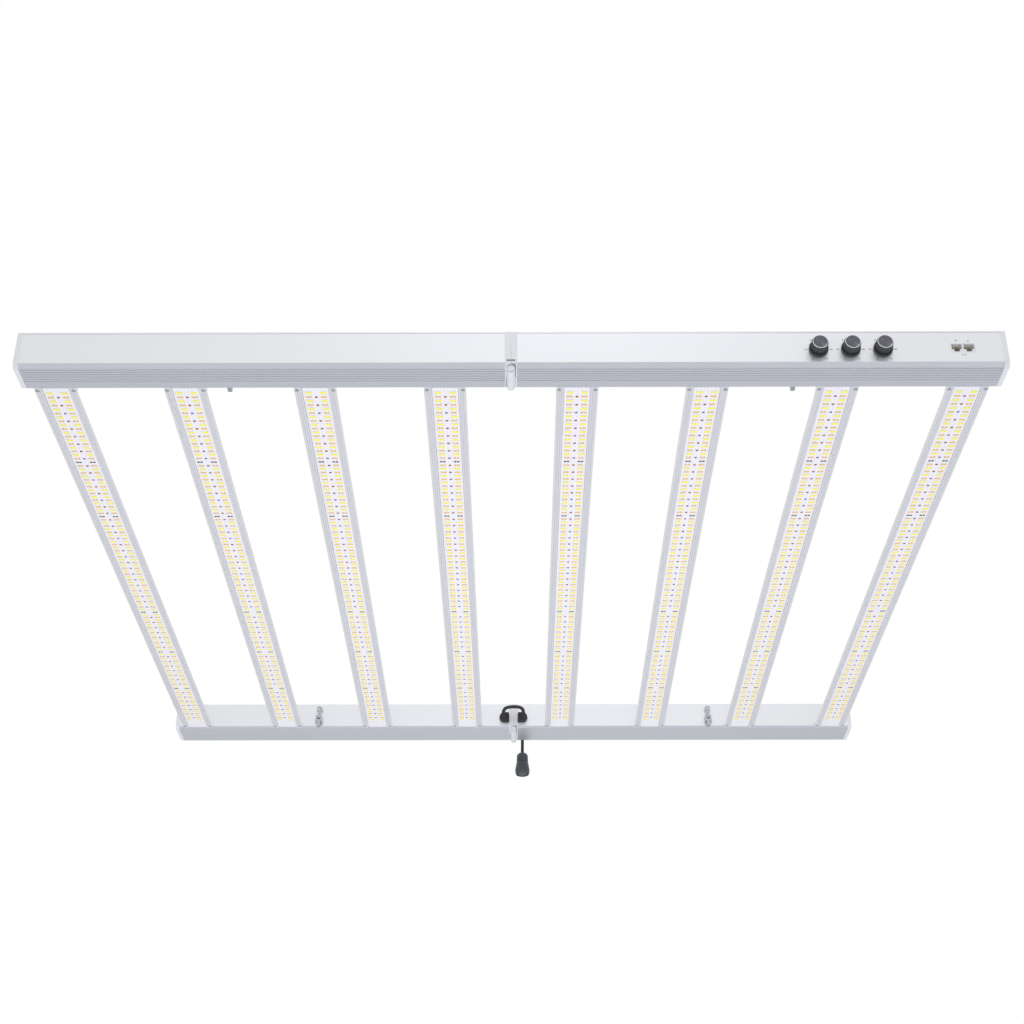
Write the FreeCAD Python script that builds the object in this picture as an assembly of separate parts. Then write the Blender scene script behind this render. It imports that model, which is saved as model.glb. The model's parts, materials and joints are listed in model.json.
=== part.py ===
import FreeCAD, Part
import math
import os

# Folding LED grow light. Two half frames of four LED bars each are joined on the centre line by
# two pin hinges. Millimetres. +X runs along the rails, +Y from the driver rail to the feed rail,
# +Z up. The LEDs shine down, along -Z.
# The parts are drawn with height 0 at the underside of the frame. save() then lowers them by
# HANG_Z, so that the written origin is the middle of the four hanging hooks' eyes.

os.makedirs("parts", exist_ok=True)

# --- driving dimensions ---
HALF_LENGTH = 564.0        # centre line to the outer end of a rail
BAR_LENGTH = 1006.5        # clear distance between the two rails
BAR_PITCH = 150.0
BARS_PER_HALF = 4
BAR_FIRST = 76.5           # first bar's centre from the centre line
WALL = 2.4                 # wall of both rails
CAP_THICK = 5.5            # outer end caps
PLATE_THICK = 6.8          # hinge plates
BUTT_GAP = 0.1             # each hinge plate stands this far from the centre line
HANG_Z = 31.5              # height of the hooks' eyes above the underside

# driver rail, at the control side
DRIVER_DEPTH = 43.0
DRIVER_HEIGHT = 47.0
DRIVER_CHAMFER = 4.7
FLOOR_WALL = 3.4           # the grooved underside is thicker
GROOVES = 6
GROOVE_PITCH = 4.5
GROOVE_WIDE = 1.5
GROOVE_DEEP = 1.0

# feed rail, at the mains side
FEED_DEPTH = 54.5
FEED_HEIGHT = 42.0
FEED_CHAMFER = 3.0

# LED bar section
BAR_WIDE = 48.5
WING_THICK = 2.2
CHANNEL_HALF = 15.4        # half width of the channel that holds the board
CHANNEL_DEEP = 2.6
SPINE_HALF = 17.5
SPINE_TOP = 5.0
FINS = 5
FIN_PITCH = 6.6
FIN_THICK = 1.6
FIN_TOP = 14.0
BOARD_WIDE = 30.2
BOARD_THICK = 1.6
BOARD_END_GAP = 2.0

# hinge
HINGE_Z = -1.0             # the pin's axis is just below the underside, so the halves fold flat
KNUCKLE_R = 4.8
PIN_R = 2.5
PIN_PLAY = 0.05
SWEEP_GAP = 0.6            # room round a knuckle in the facing plate
BORE_ROOM = 0.6            # room above a knuckle in the facing plate
KNUCKLE_GAP = 0.15         # half the gap between the two knuckles
WEB_INSET = 0.4
PLATE_SINK = 0.6           # screw heads lie this far under the butting faces
HEAD_GAP = 0.5
PIN_HEAD_R = 4.5
PIN_HEAD_THICK = 1.1
WINDOW_HALF = 4.9          # shallow window above the driver rail's knuckles
WINDOW_DEEP = 8.0
WINDOW_Z = (6.6, 9.0)

# dimmer knobs
KNOBS = 3
KNOB_FIRST_X = 349.0
KNOB_PITCH = 36.6
KNOB_Z = 21.6
KNOB_GAP = 0.8             # skirt to rail face
SKIRT_R = 11.0
GRIP_R = 9.6
CAP_R = 8.9
KNOB_OUT = 16.0            # rail face to the front of the cap
SHAFT_R = 3.0
SHAFT_SINK = 3.5           # front of the cap to the front of the shaft
SHAFT_LENGTH = 20.5
SHAFT_FLAT_LENGTH = 9.0
SHAFT_FLAT_Z = 2.2
SKIRT_THICK = 3.0
CAP_THICK_KNOB = 1.6
CAP_RIM = 0.6
MARK_R = 0.7
MARK_OUT = 5.6
KNURLS = 36
KNURL_DEEP = 0.45
BUSH_R = 4.5
BUSH_OUT = 2.0
BUSH_HOLE_R = 4.7
POT_HALF_WIDE = 8.0
POT_HALF_HIGH = 6.0
POT_DEEP = 10.0
BOARD_X = (325.0, 480.0)
CONTROL_Z = (9.0, 36.0)

# potted supply inside the driver rail
MODULE_X = (40.0, 300.0)
MODULE_INSET = 9.4
MODULE_Z = (6.5, 35.0)

# data ports
PORT_X = (506.4, 520.2)
PORT_Z = 25.2              # middle of the wide part of the opening
PORT_WIDE = 12.0
PORT_HIGH = 7.4
PORT_NOTCH_WIDE = 6.4
PORT_NOTCH_HIGH = 3.0
PORT_DEEP = 14.0
PORT_BLOCK_DEEP = 18.0
PORT_WALL = 1.2

# hooks
HOOK_X = 325.0
HOOK_OUT = 5.0             # rail face to the hook's plane
HOOK_PIVOT_Z = 16.5
HOOK_WIRE_R = 1.2
HOOK_RING_R = 3.9          # ring centreline
HOOK_EYE_R = 2.9
HOOK_EYE_HALF = 2.0
RING_GAP_HALF = 3.2
PIVOT_R = 1.25
POST_OUT = 9.6
STEM_HALF = 2.5
STEM_Z = (0.6, 9.0)
HEAD_HALF = 5.6
HEAD_Z = (8.6, 11.6)
EAR_X = (2.4, 4.8)
EAR_OUT = (1.6, 8.4)
EAR_Z = (11.0, 19.6)

# jumper lead between the halves
BOOT_X = 15.3
BOOT_DEEP = 9.0
BOOT_R = 8.1
BOOT_MIDDLE_Z = 17.2
BOOT_FLAT_GAP = 0.5        # hinge plate to the flat side of a boot
LEAD_HOLE_R = 4.0
JUMPER_R = 2.75
JUMPER_ROUTE = [
    (-15.3, 494.1, 15.6),
    (-15.5, 486.6, 15.8),
    (-17.0, 478.4, 19.6),
    (-11.3, 473.2, 24.2),
    (11.5, 473.0, 24.6),
    (17.2, 478.6, 19.8),
    (15.5, 486.4, 15.7),
    (15.3, 494.1, 15.6),
]

# mains pigtail
MAINS_X = 15.0
GLAND_Z = 26.5
GLAND_OUT = 12.0
GLAND_FLANGE = (8.0, 2.0)  # radius and thickness
GLAND_HEX_R = 7.0
GLAND_HEX_THICK = 4.0
GLAND_CONE_R = (5.6, 3.7)
GLAND_STUB = (5.0, 8.0)    # radius and length inside the rail
MAINS_R = 2.6
MAINS_ROUTE = [
    (15.0, 569.75, 26.5),
    (15.0, 583.75, 26.0),
    (15.2, 595.9, 18.9),
    (15.1, 602.7, 6.9),
    (15.0, 603.2, -6.6),
]
CONNECTOR_TOP = -6.6
NUT_LONG = 14.0
BARREL_R = 7.6
BARREL_LONG = 23.6
SHOULDER_LONG = 3.0
CONTACT_HOLE_R = 1.3
CONTACT_CIRCLE_R = 3.6
CONTACT_HOLE_DEEP = 12.0
COUPLING_DROP = 17.4       # top of the connector to the top of its coupling nut

DRIVER_Y = -BAR_LENGTH / 2 - DRIVER_DEPTH
FEED_Y = BAR_LENGTH / 2
RAIL_START = BUTT_GAP + PLATE_THICK
RAIL_END = HALF_LENGTH - CAP_THICK
HINGE_Y = {"driver": (DRIVER_Y + 5.0, DRIVER_Y + 40.0), "feed": (FEED_Y + 3.5, FEED_Y + 52.0)}
X_AXIS = FreeCAD.Vector(1, 0, 0)
Y_AXIS = FreeCAD.Vector(0, 1, 0)
Z_AXIS = FreeCAD.Vector(0, 0, 1)


def save(name, shape):
    """Writes one node, lowered so that the origin is the hanging point."""
    shape = shape.copy()
    shape.translate(FreeCAD.Vector(0, 0, -HANG_Z))
    shape.exportStep("parts/" + name + ".step")
    volume = sum(s.Volume for s in shape.Solids) / 1000
    print(f"{name:28s} solids {len(shape.Solids):3d}  {volume:9.2f} cm3  valid {shape.isValid()}")


def box(x, y, z):
    """A block given by its low and high value on each axis."""
    corner = FreeCAD.Vector(x[0], y[0], z[0])
    return Part.makeBox(x[1] - x[0], y[1] - y[0], z[1] - z[0], corner)


def rod(start, axis, radius, length):
    return Part.makeCylinder(radius, length, FreeCAD.Vector(*start), axis)


def prism(points, along):
    """Closed polygon through 3-D points, pushed along a vector."""
    corners = [FreeCAD.Vector(*p) for p in points]
    return Part.Face(Part.makePolygon(corners + corners[:1])).extrude(along)


def rail_prism(outline, x):
    """A (y, z) outline run along X between the two values of x."""
    return prism([(x[0], y, z) for y, z in outline], FreeCAD.Vector(x[1] - x[0], 0, 0))


def mirrored(shape):
    """The same piece on the other half of the light."""
    return shape.mirror(FreeCAD.Vector(0, 0, 0), X_AXIS)


def on_side(shape, side):
    return shape if side == "right" else mirrored(shape)


def driver_outline(grooved):
    """Driver rail section: chamfered front edge and a grooved underside."""
    points = [(DRIVER_Y, DRIVER_CHAMFER), (DRIVER_Y + DRIVER_CHAMFER, 0)]
    if grooved:
        for i in range(GROOVES):
            y = DRIVER_Y + DRIVER_CHAMFER + 1.8 + i * GROOVE_PITCH
            points += [(y, 0), (y, GROOVE_DEEP), (y + GROOVE_WIDE, GROOVE_DEEP), (y + GROOVE_WIDE, 0)]
    back = DRIVER_Y + DRIVER_DEPTH
    return points + [(back, 0), (back, DRIVER_HEIGHT), (DRIVER_Y, DRIVER_HEIGHT)]


def feed_outline():
    back = FEED_Y + FEED_DEPTH
    return [
        (FEED_Y, FEED_CHAMFER),
        (FEED_Y + FEED_CHAMFER, 0),
        (back, 0),
        (back, FEED_HEIGHT),
        (FEED_Y, FEED_HEIGHT),
    ]


RAILS = {
    "driver": (DRIVER_Y, DRIVER_DEPTH, DRIVER_HEIGHT, DRIVER_CHAMFER, FLOOR_WALL),
    "feed": (FEED_Y, FEED_DEPTH, FEED_HEIGHT, FEED_CHAMFER, WALL),
}
SCREW_INSET = WALL + 3.0
SCREW_SHANK_R = 1.4
SCREW_HEAD_R = 2.9
SCREW_HEAD_HIGH = 1.8
SCREW_SINK = 0.2           # heads lie this far under the faces of caps
SCREW_SOCKET_R = 1.3
SCREW_GRIP = 12.0
BOSS_R = 3.3
BOSS_LIFT = 8.5            # floor to the lower screws
LOCK_SCREW_R = 1.7
LOCK_SCREW_HIGH = 1.1
LOCK_SHANK_R = 0.9
LOCK_SHANK_LONG = 3.0
LOCK_PLATE_X = 5.0
LIP_Z = (44.6, 45.4)
LIP_DEEP = 0.5


def screw_places(rail):
    """(y, z) of the four screws that hold a rail's end cap and hinge plate."""
    y, depth, height, chamfer, floor = RAILS[rail]
    low, high = floor + BOSS_LIFT, height - SCREW_INSET
    return [(y + SCREW_INSET, high), (y + depth - SCREW_INSET, high),
            (y + SCREW_INSET, low), (y + depth - SCREW_INSET, low)]


def rail_body(rail, outline):
    """A hollow rail with a screw channel in each corner, before its cut-outs."""
    y, depth, height, chamfer, floor = RAILS[rail]
    span = (RAIL_START, RAIL_END)
    hollow = [
        (y + WALL, chamfer + WALL * 0.6),
        (y + chamfer + WALL * 0.6, floor),
        (y + depth - WALL, floor),
        (y + depth - WALL, height - WALL),
        (y + WALL, height - WALL),
    ]
    shell = rail_prism(outline, span).cut(rail_prism(hollow, span))
    length = RAIL_END - RAIL_START
    bosses = [rod((RAIL_START, py, pz), X_AXIS, BOSS_R, length) for py, pz in screw_places(rail)]
    shell = shell.fuse(bosses)
    holes = []
    for py, pz in screw_places(rail):
        for x in (RAIL_START, RAIL_END - SCREW_GRIP):
            holes.append(rod((x, py, pz), X_AXIS, SCREW_SHANK_R, SCREW_GRIP))
    return shell.cut(holes).removeSplitter()


def lock_screw_places(rail):
    """(x, y, z) under the heads of the two screws on top of a rail's plate and end cap."""
    y, depth, height, chamfer, floor = RAILS[rail]
    return [(x, y + SCREW_INSET, height) for x in (LOCK_PLATE_X, HALF_LENGTH - CAP_THICK / 2)]


def lock_holes(rail):
    places = [(x, y, z - LOCK_SHANK_LONG) for x, y, z in lock_screw_places(rail)]
    return [rod(place, Z_AXIS, LOCK_SHANK_R, LOCK_SHANK_LONG) for place in places]


LEDGE_REACH = 12.0
LEDGE_THICK = 3.0
LEDGE_HALF = 3.2
WING_MIDDLE = 21.0
BAR_SCREW_INSET = 6.0
BAR_SCREW_HEAD_R = 2.4
BAR_SCREW_SINK = 1.2
BAR_SCREW_LONG = 5.0
DRIVER_SLOT = (1.6, 0.3)   # half length and half width of a screw's slot


def bar_centres():
    return [BAR_FIRST + i * BAR_PITCH for i in range(BARS_PER_HALF)]


def ledges(rail):
    """Small shelves on a rail's inner face, above each bar's two wings."""
    face = DRIVER_Y + DRIVER_DEPTH if rail == "driver" else FEED_Y
    y = (face - 1.0, face + LEDGE_REACH) if rail == "driver" else (face - LEDGE_REACH, face + 1.0)
    shelves = []
    for centre in bar_centres():
        for sign in (-1, 1):
            middle = centre + sign * WING_MIDDLE
            shelf = box((middle - LEDGE_HALF, middle + LEDGE_HALF), y,
                        (WING_THICK, WING_THICK + LEDGE_THICK))
            shelves.append(shelf)
    return shelves


def bar_screw_places():
    """(x, y) of the screws that hold the bars' wings up to the ledges."""
    ends = (-BAR_LENGTH / 2 + BAR_SCREW_INSET, BAR_LENGTH / 2 - BAR_SCREW_INSET)
    return [(c + s * WING_MIDDLE, y) for c in bar_centres() for s in (-1, 1) for y in ends]


def bar_screw_holes(radius, low, high):
    return [rod((x, y, low), Z_AXIS, radius, high - low) for x, y in bar_screw_places()]


def knob_xs():
    return [KNOB_FIRST_X + i * KNOB_PITCH for i in range(KNOBS)]


def port_window():
    """(x, z) spans of the data port block, where it fills the rail's front wall."""
    reach = PORT_WIDE / 2 + PORT_WALL
    low = PORT_Z - PORT_HIGH / 2 - PORT_NOTCH_HIGH - PORT_WALL
    return (PORT_X[0] - reach, PORT_X[1] + reach), (low, PORT_Z + PORT_HIGH / 2 + PORT_WALL)


def driver_rail(side):
    rail = rail_body("driver", driver_outline(True)).fuse(ledges("driver"))
    lip = box((RAIL_START, RAIL_END), (DRIVER_Y, DRIVER_Y + LIP_DEEP), LIP_Z)
    cuts = [lip] + bar_screw_holes(SCREW_SHANK_R, WING_THICK, WING_THICK + LEDGE_THICK)
    if side == "right":
        cuts += [rod((x, DRIVER_Y, KNOB_Z), Y_AXIS, BUSH_HOLE_R, WALL) for x in knob_xs()]
        x, z = port_window()
        cuts.append(box(x, (DRIVER_Y, DRIVER_Y + WALL), z))
    return on_side(rail.cut(cuts), side)


def feed_rail(side):
    rail = rail_body("feed", feed_outline()).fuse(ledges("feed"))
    cuts = bar_screw_holes(SCREW_SHANK_R, WING_THICK, WING_THICK + LEDGE_THICK)
    cuts.append(rod((BOOT_X, FEED_Y, BOOT_MIDDLE_Z), Y_AXIS, LEAD_HOLE_R, WALL))
    if side == "right":
        back = FEED_Y + FEED_DEPTH
        cuts.append(rod((MAINS_X, back - WALL, GLAND_Z), Y_AXIS, GLAND_STUB[0], WALL))
    return on_side(rail.cut(cuts), side)


def end_cap(rail, side):
    """Flat plate that closes the outer end of a rail, with pockets for four screw heads."""
    outline = driver_outline(False) if rail == "driver" else feed_outline()
    cap = rail_prism(outline, (RAIL_END, HALF_LENGTH))
    pocket = SCREW_HEAD_HIGH + SCREW_SINK
    holes = lock_holes(rail)
    for y, z in screw_places(rail):
        holes.append(rod((RAIL_END, y, z), X_AXIS, SCREW_SHANK_R, CAP_THICK))
        holes.append(rod((HALF_LENGTH - pocket, y, z), X_AXIS, SCREW_HEAD_R + 0.1, pocket))
    return on_side(cap.cut(holes), side)


def hinge_rooms(rail, side):
    """What is cut from a hinge plate for the facing knuckle and for the pin's heads."""
    y0, y1 = HINGE_Y[rail]
    middle = (y0 + y1) / 2
    reach = KNUCKLE_R + SWEEP_GAP
    z = (HINGE_Z, KNUCKLE_R + HINGE_Z + BORE_ROOM)
    before, after = (y0 - 6.0, y0), (y1, y1 + 2.0)
    facing = (middle - KNUCKLE_GAP, y1) if side == "left" else (y0, middle + KNUCKLE_GAP)
    own_end, far_end = (before, after) if side == "left" else (after, before)
    rooms = [box((0, reach), facing, z), box((0, reach), far_end, z)]
    rooms.append(rod((0, own_end[0], HINGE_Z), Y_AXIS, KNUCKLE_R + 0.2, own_end[1] - own_end[0]))
    if rail == "driver":
        rooms.append(box((0, WINDOW_HALF), (DRIVER_Y, DRIVER_Y + WINDOW_DEEP), WINDOW_Z))
    return rooms


def hinge_plate(rail, side):
    """End plate with one hinge knuckle. The left plate has the knuckle nearer the controls."""
    outline = driver_outline(False) if rail == "driver" else feed_outline()
    y0, y1 = HINGE_Y[rail]
    middle = (y0 + y1) / 2
    own = (y0, middle - KNUCKLE_GAP) if side == "left" else (middle + KNUCKLE_GAP, y1)
    length = own[1] - own[0]
    plate = rail_prism(outline, (BUTT_GAP, RAIL_START)).cut(hinge_rooms(rail, side))
    barrel = rod((0, own[0], HINGE_Z), Y_AXIS, KNUCKLE_R, length)
    web = box((BUTT_GAP + WEB_INSET, RAIL_START), own, (0, KNUCKLE_R + HINGE_Z))
    plate = plate.fuse([barrel, web])
    cuts = [rod((0, own[0] - 1, HINGE_Z), Y_AXIS, PIN_R + PIN_PLAY, length + 2)] + lock_holes(rail)
    for y, z in screw_places(rail):
        cuts.append(rod((BUTT_GAP, y, z), X_AXIS, SCREW_SHANK_R, PLATE_THICK))
        cuts.append(rod((BUTT_GAP, y, z), X_AXIS, SCREW_HEAD_R + 0.1, SCREW_HEAD_HIGH + PLATE_SINK))
    return on_side(plate.cut(cuts), side).removeSplitter()


def hinge_pin(rail):
    """Straight pin with a flat head at each end of the knuckles."""
    y0, y1 = HINGE_Y[rail]
    shank = rod((0, y0 - HEAD_GAP, HINGE_Z), Y_AXIS, PIN_R, y1 - y0 + 2 * HEAD_GAP)
    front = rod((0, y0 - HEAD_GAP - PIN_HEAD_THICK, HINGE_Z), Y_AXIS, PIN_HEAD_R, PIN_HEAD_THICK)
    back = rod((0, y1 + HEAD_GAP, HINGE_Z), Y_AXIS, PIN_HEAD_R, PIN_HEAD_THICK)
    return shank.fuse([front, back]).removeSplitter()


def bar_outline():
    """LED bar section as (x, z): grooved wings, a channel below and fins above."""
    half = BAR_WIDE / 2
    right = [(CHANNEL_HALF, CHANNEL_DEEP), (CHANNEL_HALF, 0)]
    for x in (17.6, 20.4):
        right += [(x, 0), (x, 0.7), (x + 0.9, 0.7), (x + 0.9, 0)]
    right += [(half - 0.5, 0), (half, 0.5), (half, WING_THICK), (SPINE_HALF, WING_THICK)]
    right += [(SPINE_HALF, SPINE_TOP)]
    top = []
    for i in reversed(range(FINS)):
        middle = (i - (FINS - 1) / 2) * FIN_PITCH
        edges = (middle + FIN_THICK / 2, middle - FIN_THICK / 2)
        top += [(edges[0], SPINE_TOP), (edges[0], FIN_TOP), (edges[1], FIN_TOP), (edges[1], SPINE_TOP)]
    left = [(-x, z) for x, z in reversed(right)]
    return right + top + left


def bar(centre):
    """One extruded bar with countersunk screw holes through its wings."""
    start = -BAR_LENGTH / 2
    body = prism([(centre + x, start, z) for x, z in bar_outline()], FreeCAD.Vector(0, BAR_LENGTH, 0))
    holes = []
    for sign in (-1, 1):
        for y in (start + BAR_SCREW_INSET, -start - BAR_SCREW_INSET):
            place = (centre + sign * WING_MIDDLE, y, 0)
            holes.append(rod(place, Z_AXIS, SCREW_SHANK_R, WING_THICK))
            holes.append(rod(place, Z_AXIS, BAR_SCREW_HEAD_R, BAR_SCREW_SINK))
    return body.cut(holes)


def led_board(centre):
    half = BAR_LENGTH / 2 - BOARD_END_GAP
    z = (CHANNEL_DEEP - BOARD_THICK, CHANNEL_DEEP)
    return box((centre - BOARD_WIDE / 2, centre + BOARD_WIDE / 2), (-half, half), z)


def flat_screw(x, y):
    """Countersunk screw driven up through a bar's wing."""
    head_high = BAR_SCREW_SINK - SCREW_SINK
    head = rod((x, y, SCREW_SINK), Z_AXIS, BAR_SCREW_HEAD_R - 0.1, head_high)
    half, thin = DRIVER_SLOT
    slot = box((x - half, x + half), (y - thin, y + thin), (SCREW_SINK, SCREW_SINK + head_high / 2))
    shank = rod((x, y, BAR_SCREW_SINK), Z_AXIS, SCREW_SHANK_R, BAR_SCREW_LONG - BAR_SCREW_SINK)
    return head.fuse(shank).cut(slot)


def end_screw(x, y, z, inward):
    """Socket head screw along X. Its head's under face is at x, and it points inward."""
    grip = 8.0 + CAP_THICK
    axis = X_AXIS * inward
    shank = rod((x, y, z), axis, SCREW_SHANK_R, grip)
    head = rod((x, y, z), -axis, SCREW_HEAD_R, SCREW_HEAD_HIGH)
    top = x - inward * SCREW_HEAD_HIGH
    socket = rod((top, y, z), axis, SCREW_SOCKET_R, SCREW_HEAD_HIGH * 0.6)
    return shank.fuse(head).cut(socket)


def lock_screw(x, y, z):
    """Small pan head screw on top of a cap or plate. Its head's under face is at z."""
    shank = rod((x, y, z - LOCK_SHANK_LONG), Z_AXIS, LOCK_SHANK_R, LOCK_SHANK_LONG)
    return shank.fuse(rod((x, y, z), Z_AXIS, LOCK_SCREW_R, LOCK_SCREW_HIGH))


def screws(side):
    """All the screws of one half."""
    pieces = [flat_screw(x, y) for x, y in bar_screw_places()]
    outer = HALF_LENGTH - SCREW_HEAD_HIGH - SCREW_SINK
    inner = BUTT_GAP + SCREW_HEAD_HIGH + PLATE_SINK
    for rail in RAILS:
        for y, z in screw_places(rail):
            pieces.append(end_screw(outer, y, z, -1))
            pieces.append(end_screw(inner, y, z, 1))
        pieces += [lock_screw(*place) for place in lock_screw_places(rail)]
    return Part.makeCompound([on_side(p, side) for p in pieces])


def driver_module(side):
    """Potted constant-current supply inside the driver rail."""
    y = (DRIVER_Y + MODULE_INSET, DRIVER_Y + DRIVER_DEPTH - MODULE_INSET)
    return on_side(box(MODULE_X, y, MODULE_Z), side)


def control_board():
    """Circuit board behind the knobs and the data ports."""
    y = DRIVER_Y + WALL + POT_DEEP
    return box(BOARD_X, (y, y + BOARD_THICK), CONTROL_Z)


def dimmer_pots():
    """Three dimmers: square bodies on the board, with bored bushes through the rail."""
    pieces = []
    base = DRIVER_Y + WALL
    for x in knob_xs():
        case = box((x - POT_HALF_WIDE, x + POT_HALF_WIDE), (base, base + POT_DEEP),
                   (KNOB_Z - POT_HALF_HIGH, KNOB_Z + POT_HALF_HIGH))
        bush = rod((x, DRIVER_Y - BUSH_OUT, KNOB_Z), Y_AXIS, BUSH_R, WALL + BUSH_OUT)
        bore_length = BUSH_OUT + POT_DEEP - 1.0
        bore = rod((x, DRIVER_Y - BUSH_OUT, KNOB_Z), Y_AXIS, SHAFT_R + PIN_PLAY, bore_length)
        pieces.append(case.fuse(bush).cut(bore).removeSplitter())
    return Part.makeCompound(pieces)


def knob_shaft(x):
    """Turning shaft of one dimmer, with a flat on its knob end."""
    start = DRIVER_Y - KNOB_OUT + SHAFT_SINK
    shaft = rod((x, start, KNOB_Z), Y_AXIS, SHAFT_R, SHAFT_LENGTH)
    flat = box((x - SHAFT_R - 1, x + SHAFT_R + 1), (start, start + SHAFT_FLAT_LENGTH),
               (KNOB_Z + SHAFT_FLAT_Z, KNOB_Z + SHAFT_R + 1))
    return shaft.cut(flat)


def knob(x):
    """Knurled grip on a round skirt, bored for the shaft and the bush."""
    face = DRIVER_Y - KNOB_GAP
    skirt = rod((x, face - SKIRT_THICK, KNOB_Z), Y_AXIS, SKIRT_R, SKIRT_THICK)
    front = DRIVER_Y - KNOB_OUT + CAP_THICK_KNOB
    corners = []
    for i in range(2 * KNURLS):
        angle = math.pi * i / KNURLS
        radius = GRIP_R if i % 2 == 0 else GRIP_R - KNURL_DEEP
        corners.append((x + radius * math.cos(angle), front, KNOB_Z + radius * math.sin(angle)))
    grip = prism(corners, FreeCAD.Vector(0, face - SKIRT_THICK - front, 0))
    recess_deep = BUSH_OUT + 0.4
    recess = rod((x, face - recess_deep, KNOB_Z), Y_AXIS, BUSH_R + 0.5, recess_deep)
    return skirt.fuse(grip).cut([knob_shaft(x), recess])


def knob_cap(x):
    """Spun metal disc set on the front of a knob, with a chamfered rim and a sunk mark."""
    front = DRIVER_Y - KNOB_OUT
    disc = rod((x, front + CAP_RIM, KNOB_Z), Y_AXIS, CAP_R, CAP_THICK_KNOB - CAP_RIM)
    place = FreeCAD.Vector(x, front, KNOB_Z)
    rim = Part.makeCone(CAP_R - CAP_RIM, CAP_R, CAP_RIM, place, Y_AXIS)
    mark = rod((x, front, KNOB_Z + MARK_OUT), Y_AXIS, MARK_R, 0.4)
    return disc.fuse(rim).cut(mark).removeSplitter()


def data_ports():
    """Two-way socket block with latch notches under the openings."""
    x, z = port_window()
    block = box(x, (DRIVER_Y, DRIVER_Y + PORT_BLOCK_DEEP), z)
    cuts = []
    for centre in PORT_X:
        low = PORT_Z - PORT_HIGH / 2
        y = (DRIVER_Y, DRIVER_Y + PORT_DEEP)
        half = PORT_WIDE / 2
        notch = PORT_NOTCH_WIDE / 2
        cuts.append(box((centre - half, centre + half), y, (low, low + PORT_HIGH)))
        cuts.append(box((centre - notch, centre + notch), y, (low - PORT_NOTCH_HIGH, low)))
    return block.cut(cuts).removeSplitter()


def hook_side(rail):
    """The rail's inner face, and the direction away from it."""
    if rail == "driver":
        return DRIVER_Y + DRIVER_DEPTH, 1
    return FEED_Y, -1


def ordered(a, b):
    return (min(a, b), max(a, b))


def hanger_post(rail):
    """Stem, cross head, two ears and a cross pin, fixed to a rail's inner face."""
    face, out = hook_side(rail)
    reach = ordered(face, face + out * POST_OUT)
    stem = box((HOOK_X - STEM_HALF, HOOK_X + STEM_HALF), reach, STEM_Z)
    head = box((HOOK_X - HEAD_HALF, HOOK_X + HEAD_HALF), reach, HEAD_Z)
    ear_y = ordered(face + out * EAR_OUT[0], face + out * EAR_OUT[1])
    near, far = EAR_X
    ears = [box(x, ear_y, EAR_Z) for x in ((HOOK_X - far, HOOK_X - near), (HOOK_X + near, HOOK_X + far))]
    pin_half = far + 0.6
    place = (HOOK_X - pin_half, face + out * HOOK_OUT, HOOK_PIVOT_Z)
    pin = rod(place, X_AXIS, PIVOT_R, 2 * pin_half)
    return stem.fuse([head] + ears + [pin]).removeSplitter()


def hook(rail):
    """Wire hook: an eye round the post's pin, a shank and an open ring."""
    face, out = hook_side(rail)
    y = face + out * HOOK_OUT
    eye = rod((HOOK_X - HOOK_EYE_HALF, y, HOOK_PIVOT_Z), X_AXIS, HOOK_EYE_R, 2 * HOOK_EYE_HALF)
    shank_length = HANG_Z - HOOK_RING_R - HOOK_PIVOT_Z
    shank = rod((HOOK_X, y, HOOK_PIVOT_Z), Z_AXIS, HOOK_WIRE_R, shank_length)
    centre = FreeCAD.Vector(HOOK_X, y, HANG_Z)
    ring = Part.makeTorus(HOOK_RING_R, HOOK_WIRE_R, centre, Y_AXIS)
    past = HOOK_X + 2 * HOOK_RING_R
    gap = prism([(HOOK_X, y - 2, HANG_Z), (past, y - 2, HANG_Z - RING_GAP_HALF),
                 (past, y - 2, HANG_Z + RING_GAP_HALF)], FreeCAD.Vector(0, 4, 0))
    bore = rod((HOOK_X - 3, y, HOOK_PIVOT_Z), X_AXIS, PIVOT_R + PIN_PLAY, 6.0)
    return eye.fuse([shank, ring.cut(gap)]).cut(bore).removeSplitter()


def boot(side):
    """Moulded lead boot: flat towards the hinge, round on the outside."""
    start = FEED_Y - BOOT_DEEP
    z = (BOOT_MIDDLE_Z - BOOT_R, BOOT_MIDDLE_Z + BOOT_R)
    block = box((RAIL_START + BOOT_FLAT_GAP, BOOT_X), (start, FEED_Y), z)
    drum = rod((BOOT_X, start, BOOT_MIDDLE_Z), Y_AXIS, BOOT_R, BOOT_DEEP)
    return on_side(block.fuse(drum).removeSplitter(), side)


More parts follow.
